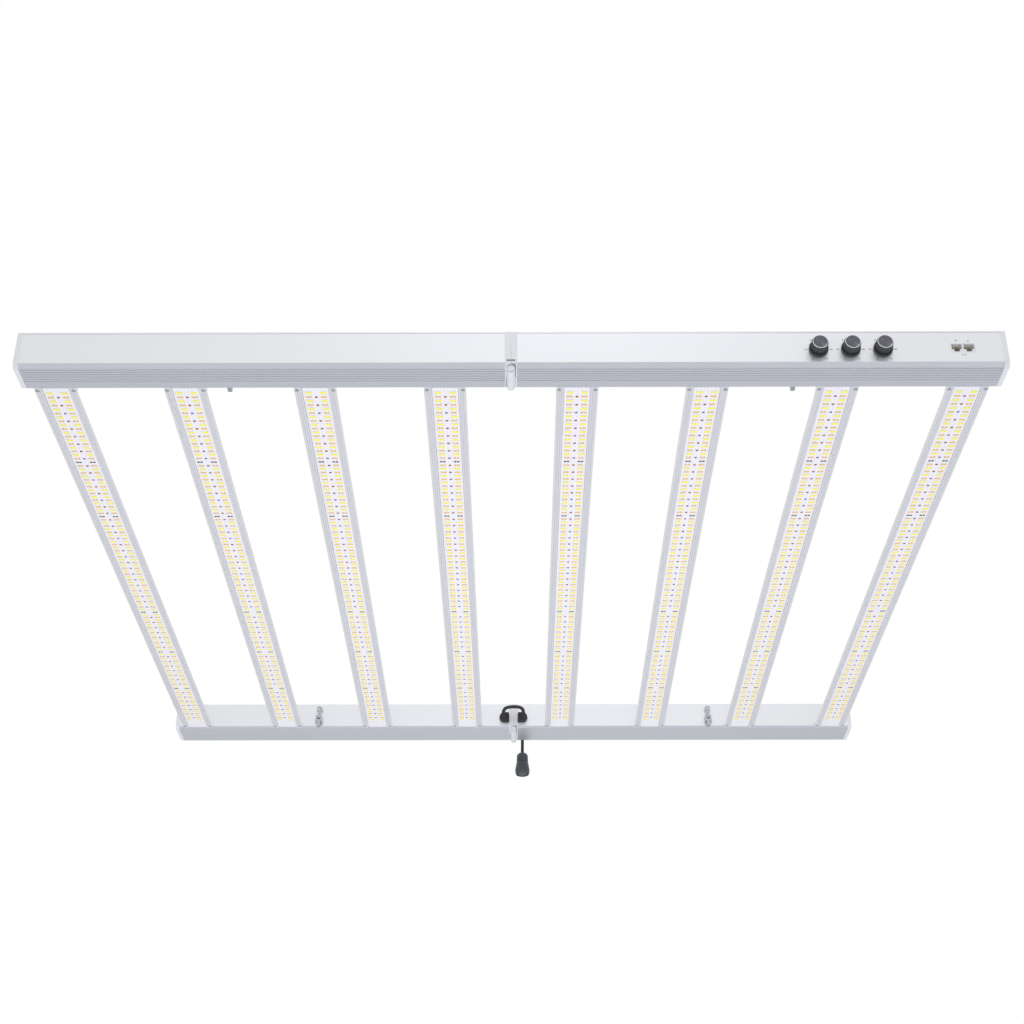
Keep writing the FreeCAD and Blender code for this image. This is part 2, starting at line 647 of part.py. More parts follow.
def tube(name, route, radius):
    """Round lead along straight runs joined by tangent arcs as large as the runs allow."""
    points = [FreeCAD.Vector(*p) for p in route]
    runs = [(b - a).Length for a, b in zip(points, points[1:])]
    edges = []
    length = 0.0
    start = points[0]
    for i in range(1, len(points) - 1):
        into = (points[i] - points[i - 1]).normalize()
        out = (points[i + 1] - points[i]).normalize()
        turn = into.getAngle(out)
        cut = 0.45 * min(runs[i - 1], runs[i])
        bend = cut / math.tan(turn / 2)
        a, b = points[i] - into * cut, points[i] + out * cut
        to_centre = (out - into).normalize()
        middle = points[i] + to_centre * (bend / math.cos(turn / 2) - bend)
        edges += [Part.LineSegment(start, a).toShape(), Part.Arc(a, middle, b).toShape()]
        length += (a - start).Length + bend * turn
        start = b
        print(f"{name}: bend {i} radius {bend:.1f} mm, {bend / radius / 2:.1f} diameters")
    edges.append(Part.LineSegment(start, points[-1]).toShape())
    length += (points[-1] - start).Length
    path = Part.Wire(edges)
    ring = Part.Wire(Part.makeCircle(radius, points[0], points[1] - points[0]))
    solid = path.makePipeShell([ring], True, False)
    share = solid.Volume / (math.pi * radius ** 2 * length)
    print(f"{name}: length {length:.1f} mm, volume over section times length {share:.4f}")
    return solid


def gland():
    """Mains gland on the back of the feed rail: flange, hexagon and tapered strain relief."""
    back = FEED_Y + FEED_DEPTH
    flange_r, flange_thick = GLAND_FLANGE
    flange = rod((MAINS_X, back, GLAND_Z), Y_AXIS, flange_r, flange_thick)
    nut_y = back + flange_thick
    hexagon = []
    for i in range(6):
        angle = math.pi * i / 3
        x, z = MAINS_X + GLAND_HEX_R * math.cos(angle), GLAND_Z + GLAND_HEX_R * math.sin(angle)
        hexagon.append((x, nut_y, z))
    nut = prism(hexagon, FreeCAD.Vector(0, GLAND_HEX_THICK, 0))
    cone_y = nut_y + GLAND_HEX_THICK
    cone_place = FreeCAD.Vector(MAINS_X, cone_y, GLAND_Z)
    cone = Part.makeCone(*GLAND_CONE_R, back + GLAND_OUT - cone_y, cone_place, Y_AXIS)
    stub_r, stub_long = GLAND_STUB
    stub = rod((MAINS_X, back - stub_long, GLAND_Z), Y_AXIS, stub_r, stub_long)
    return flange.fuse([nut, cone, stub]).removeSplitter()


def turned(profile):
    """A solid of revolution about the connector's vertical axis, from (radius, z) points."""
    x, y = MAINS_ROUTE[-1][:2]
    corners = [FreeCAD.Vector(x + r, y, z) for r, z in profile]
    face = Part.Face(Part.makePolygon(corners + corners[:1]))
    return face.revolve(FreeCAD.Vector(x, y, 0), Z_AXIS, 360)


def flutes(count, circle_r, radius, low, length):
    """Upright rods evenly round the connector's axis, to be cut out of it."""
    x, y = MAINS_ROUTE[-1][:2]
    rods = []
    for i in range(count):
        angle = 2 * math.pi * i / count + math.pi / 2
        place = (x + circle_r * math.cos(angle), y + circle_r * math.sin(angle), low)
        rods.append(rod(place, Z_AXIS, radius, length))
    return rods


def connector_gland_nut():
    """Fluted nut that grips the lead at the top of the connector."""
    top, low = CONNECTOR_TOP, CONNECTOR_TOP - NUT_LONG
    body = turned([(0, top), (6.4, top), (9.4, top - 3.6), (9.8, low), (0, low)])
    return body.cut(flutes(16, 9.9, 0.7, low + 1.0, 8.6))


def connector_insert():
    """Inner barrel with three contact holes, and a snap ring that keeps the coupling nut on."""
    top = CONNECTOR_TOP - NUT_LONG
    under, low = top - SHOULDER_LONG, top - BARREL_LONG
    shoulder = [(0, top), (9.0, top), (9.0, under), (BARREL_R, under)]
    snap_ring = [(BARREL_R, top - 5.8), (8.8, top - 5.8), (8.8, top - 6.8), (BARREL_R, top - 6.8)]
    body = turned(shoulder + snap_ring + [(BARREL_R, low), (0, low)])
    return body.cut(flutes(3, CONTACT_CIRCLE_R, CONTACT_HOLE_R, low, CONTACT_HOLE_DEEP))


def coupling_nut():
    """Flared nut that turns on the connector's barrel."""
    top = CONNECTOR_TOP - COUPLING_DROP
    low = top - 20.6
    outer = [(8.0, top), (10.2, top), (12.2, top - 12.0), (12.2, top - 17.0), (10.8, low)]
    inner = [(9.6, low), (9.6, top - 2.0), (8.0, top - 2.0)]
    return turned(outer + inner).cut(flutes(20, 12.4, 0.8, top - 17.2, 6.0))


def build():
    for side in ("left", "right"):
        save("driver_rail_" + side, driver_rail(side))
        save("feed_rail_" + side, feed_rail(side))
        for rail in RAILS:
            save(f"{rail}_end_cap_{side}", end_cap(rail, side))
            save(f"{rail}_hinge_plate_{side}", hinge_plate(rail, side))
        save("screws_" + side, screws(side))
        save("driver_module_" + side, driver_module(side))
        save("jumper_boot_" + side, boot(side))
        posts = [on_side(hanger_post(rail), side) for rail in RAILS]
        save("hanger_posts_" + side, Part.makeCompound(posts))
    for rail in RAILS:
        save(rail + "_hinge_pin", hinge_pin(rail))
        for side in ("left", "right"):
            save(f"{rail}_hook_{side}", on_side(hook(rail), side))
    centres = [-c for c in reversed(bar_centres())] + bar_centres()
    for number, centre in enumerate(centres, 1):
        save(f"bar_{number}", bar(centre))
        save(f"led_board_{number}", led_board(centre))
    save("control_board", control_board())
    save("dimmer_pots", dimmer_pots())
    for number, x in enumerate(knob_xs(), 1):
        save(f"knob_shaft_{number}", knob_shaft(x))
        save(f"knob_{number}", knob(x))
        save(f"knob_cap_{number}", knob_cap(x))
    save("data_ports", data_ports())
    save("jumper_cable", tube("jumper_cable", JUMPER_ROUTE, JUMPER_R))
    save("mains_gland", gland())
    save("mains_cord", tube("mains_cord", MAINS_ROUTE, MAINS_R))
    save("connector_gland_nut", connector_gland_nut())
    save("connector_insert", connector_insert())
    save("coupling_nut", coupling_nut())


build()
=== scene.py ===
# %% [markdown]
# # A folding LED grow light
# This notebook finishes a grow light whose frame, hinges, knobs and hooks are already exact
# solids. Here they get their metals and plastics, and the fine things are added: thousands of
# LED packages, printed dial scales, socket contacts, leads and moulded boots.
# The frame is loaded first, because every piece takes its place from it.

# %% Load the frame
import json
import math
import bpy
import numpy as np
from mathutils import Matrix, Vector


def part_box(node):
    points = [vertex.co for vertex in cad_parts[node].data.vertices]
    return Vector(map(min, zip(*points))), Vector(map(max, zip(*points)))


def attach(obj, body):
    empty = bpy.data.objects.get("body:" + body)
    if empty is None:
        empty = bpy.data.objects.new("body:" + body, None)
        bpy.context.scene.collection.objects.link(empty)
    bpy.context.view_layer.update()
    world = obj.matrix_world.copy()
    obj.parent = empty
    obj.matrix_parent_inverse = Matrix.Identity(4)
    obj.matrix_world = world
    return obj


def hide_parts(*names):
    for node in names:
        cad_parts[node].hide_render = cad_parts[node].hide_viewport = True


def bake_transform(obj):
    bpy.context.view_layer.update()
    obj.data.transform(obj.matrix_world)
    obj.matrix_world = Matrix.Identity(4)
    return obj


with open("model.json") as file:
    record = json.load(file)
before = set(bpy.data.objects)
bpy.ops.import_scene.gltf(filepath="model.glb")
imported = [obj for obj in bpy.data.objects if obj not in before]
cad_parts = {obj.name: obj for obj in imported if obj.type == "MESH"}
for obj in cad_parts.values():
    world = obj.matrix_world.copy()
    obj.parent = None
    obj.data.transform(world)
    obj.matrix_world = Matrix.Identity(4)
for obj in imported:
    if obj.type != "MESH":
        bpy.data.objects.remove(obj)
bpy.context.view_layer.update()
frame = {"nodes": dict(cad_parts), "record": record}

scene = bpy.context.scene

# %% [markdown]
# ## Camera
# The light hangs overhead and is seen from in front and below, with the lens tilted up by
# thirty degrees. A longish lens keeps the near rail from looking huge beside the far one.
# The distances are measured from the driver rail's front and the frame's underside, so the
# camera stays right if those move.

# %% Camera
MM = 0.001
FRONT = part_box("driver_rail_right")[0].y
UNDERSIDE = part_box("feed_rail_right")[0].z
CAMERA_ASIDE = 0.0065
CAMERA_BEFORE = 1.5672
CAMERA_BELOW = 1.0956
LENS_MM = 59.3
SENSOR_MM = 36.0
TILT = math.radians(120.0)
PAN = math.radians(0.195)
camera_data = bpy.data.cameras.new("camera")
camera_data.lens = LENS_MM
camera_data.sensor_width = SENSOR_MM
camera = bpy.data.objects.new("camera", camera_data)
camera.location = (CAMERA_ASIDE, FRONT - CAMERA_BEFORE, UNDERSIDE - CAMERA_BELOW)
camera.rotation_euler = (TILT, 0.0, PAN)
scene.collection.objects.link(camera)
scene.camera = camera
print("camera at", tuple(round(v, 3) for v in camera.location))

# %% [markdown]
# ## The two leads
# A lead is one smooth line with a round section. The mains pigtail leaves its gland
# backwards, bends down behind the feed rail and hangs straight under its connector's weight.
# A NURBS curve through a few given control points gives that without kinks.
# The jumper lead crosses the hinge, so it is a mesh: its
# route is read from the same kind of curve and a tube is carried along it.


# %% Helpers for curves
def route_curve(name, route, radius):
    """An open NURBS curve of order three that starts and ends on its end points."""
    data = bpy.data.curves.new(name, "CURVE")
    data.dimensions = "3D"
    spline = data.splines.new("NURBS")
    spline.points.add(len(route) - 1)
    for point, place in zip(spline.points, route):
        point.co = (*place, 1.0)
    spline.order_u = 3
    spline.use_endpoint_u = True
    spline.resolution_u = 16
    data.bevel_depth = radius
    data.bevel_resolution = 6
    data.use_fill_caps = True
    curve = bpy.data.objects.new(name, data)
    scene.collection.objects.link(curve)
    return curve


def route_points(route):
    """Points along the smooth line that the same NURBS curve draws."""
    curve = route_curve("route_line", route, 0.0)
    mesh = bpy.data.meshes.new_from_object(curve)
    points = np.zeros(len(mesh.vertices) * 3)
    mesh.vertices.foreach_get("co", points)
    bpy.data.objects.remove(curve)
    bpy.data.meshes.remove(mesh)
    return points.reshape(-1, 3)


# %% [markdown]
# Most added pieces are surfaces made of a regular grid of points: rings round a line, rings
# round an axis, or one outline that is carried outwards. The grid is worked out as one array,
# and the same rule gives its faces every time.


# %% Helpers for surfaces
def mesh_piece(name, points, faces, materials=(), picks=None, smooth=True):
    """Puts whole arrays of points and faces into a new object at the origin."""
    mesh = bpy.data.meshes.new(name)
    mesh.from_pydata(np.asarray(points).reshape(-1, 3), [], np.asarray(faces).tolist())
    for material in materials:
        mesh.materials.append(material)
    if picks is not None:
        mesh.polygons.foreach_set("material_index", np.asarray(picks, np.int32))
    mesh.polygons.foreach_set("use_smooth", np.full(len(mesh.polygons), smooth))
    mesh.update()
    piece = bpy.data.objects.new(name, mesh)
    scene.collection.objects.link(piece)
    return piece


def grid_faces(rows, columns, closed):
    """Quads between neighbouring points of a rows by columns grid. closed joins the last
    column to the first."""
    last = columns if closed else columns - 1
    r, c = np.meshgrid(np.arange(rows - 1), np.arange(last), indexing="ij")
    after = (c + 1) % columns
    quads = np.stack([r * columns + c, r * columns + after,
                      (r + 1) * columns + after, (r + 1) * columns + c], axis=-1)
    return quads.reshape(-1, 4)


def tube_grid(line, radius, sides=20):
    """Rings round a line. Each ring is centre + radius (cos a * side + sin a * up), where up is
    along x a fixed direction and side is up x along, so both stay square to the line."""
    line = np.asarray(line, float)
    along = np.gradient(line, axis=0)
    along /= np.linalg.norm(along, axis=1)[:, None]
    up = np.cross(along, [0.0, 0.0, 1.0] if abs(along[0][2]) < 0.9 else [1.0, 0.0, 0.0])
    up /= np.linalg.norm(up, axis=1)[:, None]
    side = np.cross(up, along)
    angle = np.linspace(0, 2 * np.pi, sides, endpoint=False)
    radius = np.broadcast_to(np.asarray(radius, float), (len(line),))
    ring = np.cos(angle)[None, :, None] * side[:, None] + np.sin(angle)[None, :, None] * up[:, None]
    return line[:, None] + radius[:, None, None] * ring

# %% [markdown]
# The pigtail is captive and short. Where it leaves the gland it is protected by a tapered
# rubber sleeve with six grooves, which lets it bend without kinking. The sleeve follows the
# lead's own line, so it is made as a tube whose radius shrinks on the way.

# %% Mains pigtail
MAINS_ROUTE = [
    (0.0150, 0.56975, -0.0050),
    (0.0150, 0.58375, -0.0055),
    (0.0152, 0.5959, -0.0126),
    (0.0151, 0.6027, -0.0246),
    (0.0150, 0.6032, -0.0381),
]
MAINS_WIDE = 0.0052
mains = route_curve("mains_lead", MAINS_ROUTE, MAINS_WIDE / 2)
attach(mains, "right_frame")
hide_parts("mains_cord")

relief_line = route_points(MAINS_ROUTE)
walked = np.concatenate([[0.0], np.cumsum(np.linalg.norm(np.diff(relief_line, axis=0), axis=1))])
RELIEF_LONG = 20.0 * MM
RELIEF_START = 0.5 * MM
RELIEF_RADII = (4.1 * MM, 3.1 * MM)
RELIEF_GROOVES = 6
RELIEF_GROOVE_DEEP = 0.45 * MM
RELIEF_GROOVE_LEVEL = 0.45
RELIEF_GRID = (61, 28)
steps = np.linspace(RELIEF_START, RELIEF_LONG, RELIEF_GRID[0])
relief_line = np.stack([np.interp(steps, walked, relief_line[:, i]) for i in range(3)], axis=1)
taper = np.interp(steps, [0.0, RELIEF_LONG], RELIEF_RADII)
waves = np.sin(steps / RELIEF_LONG * RELIEF_GROOVES * 2 * np.pi)
taper -= RELIEF_GROOVE_DEEP * (waves > RELIEF_GROOVE_LEVEL)
taper[-1] = MAINS_WIDE / 2
relief = mesh_piece("strain_relief", tube_grid(relief_line, taper, RELIEF_GRID[1]),
                    grid_faces(*RELIEF_GRID, True))
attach(relief, "right_frame")

# %% [markdown]
# The jumper lead carries power over the hinge to the left half. It comes straight out of one
# boot, arches over and goes back into the other, so that it has slack for the fold.

# %% Jumper lead across the hinge
JUMPER_ROUTE = [
    (-0.0153, 0.4941, -0.0159),
    (-0.0155, 0.4866, -0.0157),
    (-0.0170, 0.4784, -0.0119),
    (-0.0113, 0.4732, -0.0073),
    (0.0115, 0.4730, -0.0069),
    (0.0172, 0.4786, -0.0117),
    (0.0155, 0.4864, -0.0158),
    (0.0153, 0.4941, -0.0159),
]
JUMPER_WIDE = 0.0055
JUMPER_SIDES = 24
jumper_line = route_points(JUMPER_ROUTE)
jumper = mesh_piece("jumper_lead", tube_grid(jumper_line, JUMPER_WIDE / 2, JUMPER_SIDES),
                    grid_faces(len(jumper_line), JUMPER_SIDES, True))
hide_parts("jumper_cable")
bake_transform(jumper)

# %% [markdown]
# ## Finishes
# Metals here are satin: silver anodised extrusion, painted die-cast plates, turned steel. What
# makes them read as real is small: drawn lines along the extrusion, edges that catch light
# and a roughness that wanders. These effects are shared, so each is a node group that is
# built once and placed in every material that needs it with its own values.


# %% Small helpers for shader trees
def group(name, inputs, outputs):
    """An empty shader group with float or vector sockets, and its end nodes."""
    tree = bpy.data.node_groups.new(name, "ShaderNodeTree")
    for label, kind, value in inputs:
        socket = tree.interface.new_socket(name=label, in_out="INPUT", socket_type=kind)
        if value is not None:
            socket.default_value = value
    for label, kind in outputs:
        tree.interface.new_socket(name=label, in_out="OUTPUT", socket_type=kind)
    return tree, tree.nodes.new("NodeGroupInput"), tree.nodes.new("NodeGroupOutput")


def math_node(tree, operation, first, second=None, clamp=False):
    """One Math node whose inputs are sockets or numbers. Returns its output."""
    node = tree.nodes.new("ShaderNodeMath")
    node.operation = operation
    node.use_clamp = clamp
    for socket, value in zip(node.inputs, (first, second)):
        if isinstance(value, (int, float)):
            socket.default_value = value
        elif value is not None:
            tree.links.new(value, socket)
    return node.outputs[0]


FLOAT = "NodeSocketFloat"
VECTOR = "NodeSocketVector"

# %% [markdown]
# An extrusion is pulled through a die, which leaves fine lines along its length. The same lines
# show on turned and spun metal in other directions. They could be scratches drawn one by one,
# but noise that is squeezed along one axis gives them at any size and from any side.


# %% Drawn lines
def drawn_lines_group():
    """Lines drawn along one axis: noise on coordinates squeezed along that axis, added to
    slow cloudy noise that makes the gloss wander."""
    tree, start, end = group(
        "drawn_lines",
        [("Squeeze", VECTOR, (4.0, 900.0, 900.0)), ("Cloud Scale", FLOAT, 7.0)],
        [("Lines", FLOAT), ("Clouds", FLOAT)])
    place = tree.nodes.new("ShaderNodeTexCoord")
    squeeze = tree.nodes.new("ShaderNodeVectorMath")
    squeeze.operation = "MULTIPLY"
    tree.links.new(place.outputs["Object"], squeeze.inputs[0])
    tree.links.new(start.outputs["Squeeze"], squeeze.inputs[1])
    lines = tree.nodes.new("ShaderNodeTexNoise")
    lines.inputs["Scale"].default_value = 1.0
    lines.inputs["Detail"].default_value = 3.0
    tree.links.new(squeeze.outputs[0], lines.inputs["Vector"])
    clouds = tree.nodes.new("ShaderNodeTexNoise")
    clouds.inputs["Detail"].default_value = 2.0
    tree.links.new(place.outputs["Object"], clouds.inputs["Vector"])
    tree.links.new(start.outputs["Cloud Scale"], clouds.inputs["Scale"])
    tree.links.new(lines.outputs["Fac"], end.inputs["Lines"])
    tree.links.new(clouds.outputs["Fac"], end.inputs["Clouds"])
    return tree


DRAWN_LINES = drawn_lines_group()
print("group", DRAWN_LINES.name)

# %% [markdown]
# No real edge is perfectly sharp, and the thin bright line on it says that a thing is made of
# metal. The solids' edges stay as they are. The shader rounds only the light on them, and the
# lean of its normal is also a mask for a painted highlight: a brighter colour along the edge.


# %% Soft edges
def soft_edge_group():
    """Rounded-looking edges: the bevelled normal, and a mask of how far it leans from the true
    normal, which is one on an edge and nothing on a flat face."""
    tree, start, end = group("soft_edge", [("Radius", FLOAT, 0.0006), ("Gain", FLOAT, 3.0)],
                             [("Normal", VECTOR), ("Edge", FLOAT)])
    bevel = tree.nodes.new("ShaderNodeBevel")
    bevel.samples = 4
    tree.links.new(start.outputs["Radius"], bevel.inputs["Radius"])
    true = tree.nodes.new("ShaderNodeNewGeometry")
    dot = tree.nodes.new("ShaderNodeVectorMath")
    dot.operation = "DOT_PRODUCT"
    tree.links.new(bevel.outputs[0], dot.inputs[0])
    tree.links.new(true.outputs["True Normal"], dot.inputs[1])
    lean = math_node(tree, "SUBTRACT", 1.0, dot.outputs["Value"])
    edge = math_node(tree, "MULTIPLY", lean, start.outputs["Gain"], clamp=True)
    tree.links.new(bevel.outputs[0], end.inputs["Normal"])
    tree.links.new(edge, end.inputs["Edge"])
    return tree


SOFT_EDGE = soft_edge_group()
print("group", SOFT_EDGE.name)

# %% [markdown]
# Moulded rubber and plastic take over the fine spark-eroded grain of their mould, and they
# gather dust unevenly. Both are plain noise, one very fine and one slow.


# %% Mould grain
def mould_grain_group():
    """Fine grain of a moulded plastic or rubber skin, with slow dusty patches."""
    tree, start, end = group("mould_grain", [("Grain Scale", FLOAT, 900.0), ("Dust Scale", FLOAT, 40.0)],
                             [("Grain", FLOAT), ("Dust", FLOAT)])
    place = tree.nodes.new("ShaderNodeTexCoord")
    for label, output in (("Grain Scale", "Grain"), ("Dust Scale", "Dust")):
        noise = tree.nodes.new("ShaderNodeTexNoise")
        noise.inputs["Detail"].default_value = 4.0
        tree.links.new(place.outputs["Object"], noise.inputs["Vector"])
        tree.links.new(start.outputs[label], noise.inputs["Scale"])
        tree.links.new(noise.outputs["Fac"], end.inputs[output])
    return tree


MOULD_GRAIN = mould_grain_group()
print("group", MOULD_GRAIN.name)

# %% [markdown]
# Every material is built from the same few steps: a Principled shader, a shared group placed
# in its tree, a mix of two colours and a bump.


# %% Material helpers
def srgb(red, green, blue):
    """A colour given as screen values from 0 to 255, in the linear form that shaders use."""
    values = np.array([red, green, blue]) / 255.0
    linear = np.where(values <= 0.04045, values / 12.92, ((values + 0.055) / 1.055) ** 2.4)
    return (*linear.tolist(), 1.0)


def new_material(name, metallic=0.0, roughness=0.5):
    """A material with a Principled shader. Returns it with its tree and shader."""
    material = bpy.data.materials.new(name)
    material.use_nodes = True
    tree = material.node_tree
    shader = tree.nodes["Principled BSDF"]
    shader.inputs["Metallic"].default_value = metallic
    shader.inputs["Roughness"].default_value = roughness
    return material, tree, shader


def place_group(tree, kind, **values):
    """Puts a shared group into a material and sets its inputs by name."""
    node = tree.nodes.new("ShaderNodeGroup")
    node.node_tree = kind
    for label, value in values.items():
        node.inputs[label.replace("_", " ")].default_value = value
    return node


def blend_colours(tree, factor, low, high):
    """Mixes two colours, each a socket or a value, by a factor socket."""
    mix = tree.nodes.new("ShaderNodeMix")
    mix.data_type = "RGBA"
    tree.links.new(factor, mix.inputs["Factor"])
    for socket, value in ((mix.inputs[6], low), (mix.inputs[7], high)):
        if isinstance(value, tuple):
            socket.default_value = value
        else:
            tree.links.new(value, socket)
    return mix.outputs[2]


def ramp(tree, value, low, high):
    """Maps a socket's 0 to 1 onto low to high."""
    node = tree.nodes.new("ShaderNodeMapRange")
    node.inputs["To Min"].default_value = low
    node.inputs["To Max"].default_value = high
    tree.links.new(value, node.inputs["Value"])
    return node.outputs["Result"]


def add_bump(tree, shader, height, distance, normal=None):
    """Raises the surface's shading by a height socket, over a normal socket if one is given."""
    bump = tree.nodes.new("ShaderNodeBump")
    bump.inputs["Distance"].default_value = distance
    tree.links.new(height, bump.inputs["Height"])
    if normal is not None:
        tree.links.new(normal, bump.inputs["Normal"])
    tree.links.new(bump.outputs["Normal"], shader.inputs["Normal"])


# %% [markdown]
# ### Metals
# The rails and bars are anodised extrusions, the plates and caps are painted castings, and the
# pins, hooks and screws are turned, bent or plated steel. They differ in colour, gloss and the
# way their lines run, so one function makes them all. The rails need a nearly pure metal to
# mirror the dark low part of the room, while the painted plates hardly mirror at all.


# %% Metals
def satin_metal(name, tone, shade, squeeze, metallic, rough, edge_highlight_tone=(250, 251, 253)):
    """Drawn or cast metal: lines along the squeezed axis, clouded gloss, and a painted highlight that blends
    the edges towards a brighter colour.
    """
    material, tree, shader = new_material(name, metallic)
    drawn = place_group(tree, DRAWN_LINES, Squeeze=squeeze)
    edges = place_group(tree, SOFT_EDGE, Radius=EDGE_RADIUS)
    streaks = ramp(tree, drawn.outputs["Lines"], 0.25, 0.75)
    body = blend_colours(tree, streaks, srgb(*shade), srgb(*tone))
    # Painted highlight: the edge mask blends the colour towards a brighter tone along every edge.
    colour = blend_colours(tree, edges.outputs["Edge"], body, srgb(*edge_highlight_tone))
    tree.links.new(colour, shader.inputs["Base Color"])
    tree.links.new(ramp(tree, drawn.outputs["Clouds"], *rough), shader.inputs["Roughness"])
    add_bump(tree, shader, drawn.outputs["Lines"], LINE_HEIGHT, edges.outputs["Normal"])
    return material


EDGE_RADIUS = 0.5 * MM
LINE_HEIGHT = 0.03 * MM
ALONG_X = (6.0, 1100.0, 1100.0)
ALONG_Y = (1100.0, 6.0, 1100.0)
ROUND_A_PIN = (900.0, 40.0, 900.0)
ALONG_A_WIRE = (400.0, 400.0, 60.0)


def even(fine):
    """A squeeze that is the same on all axes, for a surface without a direction."""
    return (fine, fine, fine)


RAIL_METAL = satin_metal("rail_anodised", (243, 244, 248), (234, 236, 241), ALONG_X,
                         metallic=0.85, rough=(0.30, 0.46))
BAR_METAL = satin_metal("bar_anodised", (244, 244, 246), (232, 232, 236), ALONG_Y,
                        metallic=0.45, rough=(0.30, 0.46))
CAP_METAL = satin_metal("cap_satin", (238, 239, 243), (229, 230, 235), even(500.0),
                        metallic=0.2, rough=(0.38, 0.52))
PIN_METAL = satin_metal("pin_turned", (236, 237, 242), (214, 215, 222), ROUND_A_PIN,
                        metallic=0.6, rough=(0.22, 0.34))
ZINC_METAL = satin_metal("zinc_plate", (200, 203, 208), (176, 180, 187), even(300.0),
                         metallic=0.75, rough=(0.3, 0.45))
HOOK_METAL = satin_metal("hook_wire", (204, 206, 211), (172, 174, 180), ALONG_A_WIRE,
                         metallic=0.7, rough=(0.24, 0.38), edge_highlight_tone=(236, 237, 241))
GRIP_METAL = satin_metal("spun_gunmetal", (126, 127, 133), (88, 89, 94), even(600.0),
                         metallic=0.9, rough=(0.26, 0.34), edge_highlight_tone=(226, 227, 232))
RIM_METAL = satin_metal("knob_bright_rim", (240, 240, 244), (222, 222, 228), even(600.0),
                        metallic=0.9, rough=(0.15, 0.22))
print("metals", len(bpy.data.materials))

# %% [markdown]
# ### Plastics and rubber
# The leads and boots are soft matt rubber, the connector is glass-filled nylon with ribs whose
# edges carry a painted highlight, and the knobs and sockets are smooth mouldings. The darker ones
# are never pure black, because dust and skin grain scatter some light.


# %% Plastics and rubber
def moulded(name, tone, dust_tone, rough, grain=900.0, bump=0.04 * MM, edge=0.35):
    """Moulded skin: fine grain in the bump, dusty patches in colour, and edges lightened as a painted
    highlight.
    """
    material, tree, shader = new_material(name, 0.0, rough)
    skin = place_group(tree, MOULD_GRAIN, Grain_Scale=grain)
    edges = place_group(tree, SOFT_EDGE, Radius=MOULDED_RADIUS, Gain=edge)
    patches = blend_colours(tree, skin.outputs["Dust"], srgb(*tone), srgb(*dust_tone))
    # Painted highlight: the edge mask, scaled by the edge gain, lightens the colour along edges.
    painted_edge_highlight = tuple(min(255, value + EDGE_HIGHLIGHT_LIGHTER) for value in dust_tone)
    colour = blend_colours(tree, edges.outputs["Edge"], patches, srgb(*painted_edge_highlight))
    tree.links.new(colour, shader.inputs["Base Color"])
    tree.links.new(ramp(tree, skin.outputs["Dust"], rough - 0.07, rough + 0.1), shader.inputs["Roughness"])
    add_bump(tree, shader, skin.outputs["Grain"], bump, edges.outputs["Normal"])
    return material


MOULDED_RADIUS = 0.4 * MM
EDGE_HIGHLIGHT_LIGHTER = 60
# The last value, edge, sets how strongly each moulding's edges get the painted highlight.
RUBBER = moulded("black_rubber", (30, 31, 33), (48, 49, 52), 0.55)
NYLON = moulded("black_nylon", (56, 59, 63), (82, 86, 91), 0.36, edge=1.4)
KNOB_PLASTIC = moulded("knob_plastic", (34, 35, 39), (54, 55, 60), 0.3, edge=1.2)
PORT_PLASTIC = moulded("port_plastic", (240, 241, 244), (232, 233, 238), 0.3, bump=0.01 * MM)
POTTING = moulded("potting", (36, 37, 40), (52, 53, 56), 0.45, grain=300.0)
BOARD_GREEN = moulded("control_board_mask", (22, 92, 50), (34, 108, 62), 0.32, grain=500.0)
print("plastics up to", len(bpy.data.materials))

# %% [markdown]
# ### LED board and phosphor
# A grow light's board is white, so that it throws light back. Long copper tracks run under its
# mask and show as faint stripes. Stripes follow from the distance to the bar's centre line, so
# no picture is needed, and one material serves all eight boards. A package is a white cup
# filled with clear silicone, in which phosphor grains or a bare die give the colour.


# %% LED board and phosphor
def board_mask():
    """White solder mask. Copper tracks under it show as faint raised stripes along the board,
    found from the distance to the nearest bar's centre line, which repeats every pitch."""
    material, tree, shader = new_material("board_white_mask", 0.0, 0.36)
    place = tree.nodes.new("ShaderNodeTexCoord")
    split = tree.nodes.new("ShaderNodeSeparateXYZ")
    tree.links.new(place.outputs["Object"], split.inputs[0])
    across = math_node(tree, "ABSOLUTE", split.outputs["X"])
    across = math_node(tree, "SUBTRACT", across, BAR_FIRST - BAR_PITCH / 2)
    across = math_node(tree, "MODULO", across, BAR_PITCH)
    across = math_node(tree, "SUBTRACT", across, BAR_PITCH / 2)
    waves = math_node(tree, "SINE", math_node(tree, "MULTIPLY", across, 2 * math.pi / TRACK_PITCH))
    tracks = math_node(tree, "GREATER_THAN", waves, 0.1)
    cloth = place_group(tree, MOULD_GRAIN, Grain_Scale=1400.0, Dust_Scale=60.0)
    tint = blend_colours(tree, cloth.outputs["Dust"], srgb(247, 245, 250), srgb(241, 239, 246))
    colour = blend_colours(tree, math_node(tree, "MULTIPLY", tracks, 0.35), tint, srgb(226, 223, 230))
    tree.links.new(colour, shader.inputs["Base Color"])
    weave = math_node(tree, "MULTIPLY", cloth.outputs["Grain"], 0.3)
    add_bump(tree, shader, math_node(tree, "ADD", tracks, weave), TRACK_HEIGHT)
    shader.inputs["Coat Weight"].default_value = 0.4
    shader.inputs["Coat Roughness"].default_value = 0.2
    return material


def phosphor(name, core, dusty, rough=0.45):
    """Silicone filled with phosphor: grainy colour, clear glossy coat."""
    material, tree, shader = new_material(name, 0.0, rough)
    grain = place_group(tree, MOULD_GRAIN, Grain_Scale=2200.0, Dust_Scale=120.0)
    colour = blend_colours(tree, grain.outputs["Dust"], srgb(*core), srgb(*dusty))
    tree.links.new(colour, shader.inputs["Base Color"])
    add_bump(tree, shader, grain.outputs["Grain"], 0.02 * MM)
    shader.inputs["Coat Weight"].default_value = 0.5
    return material


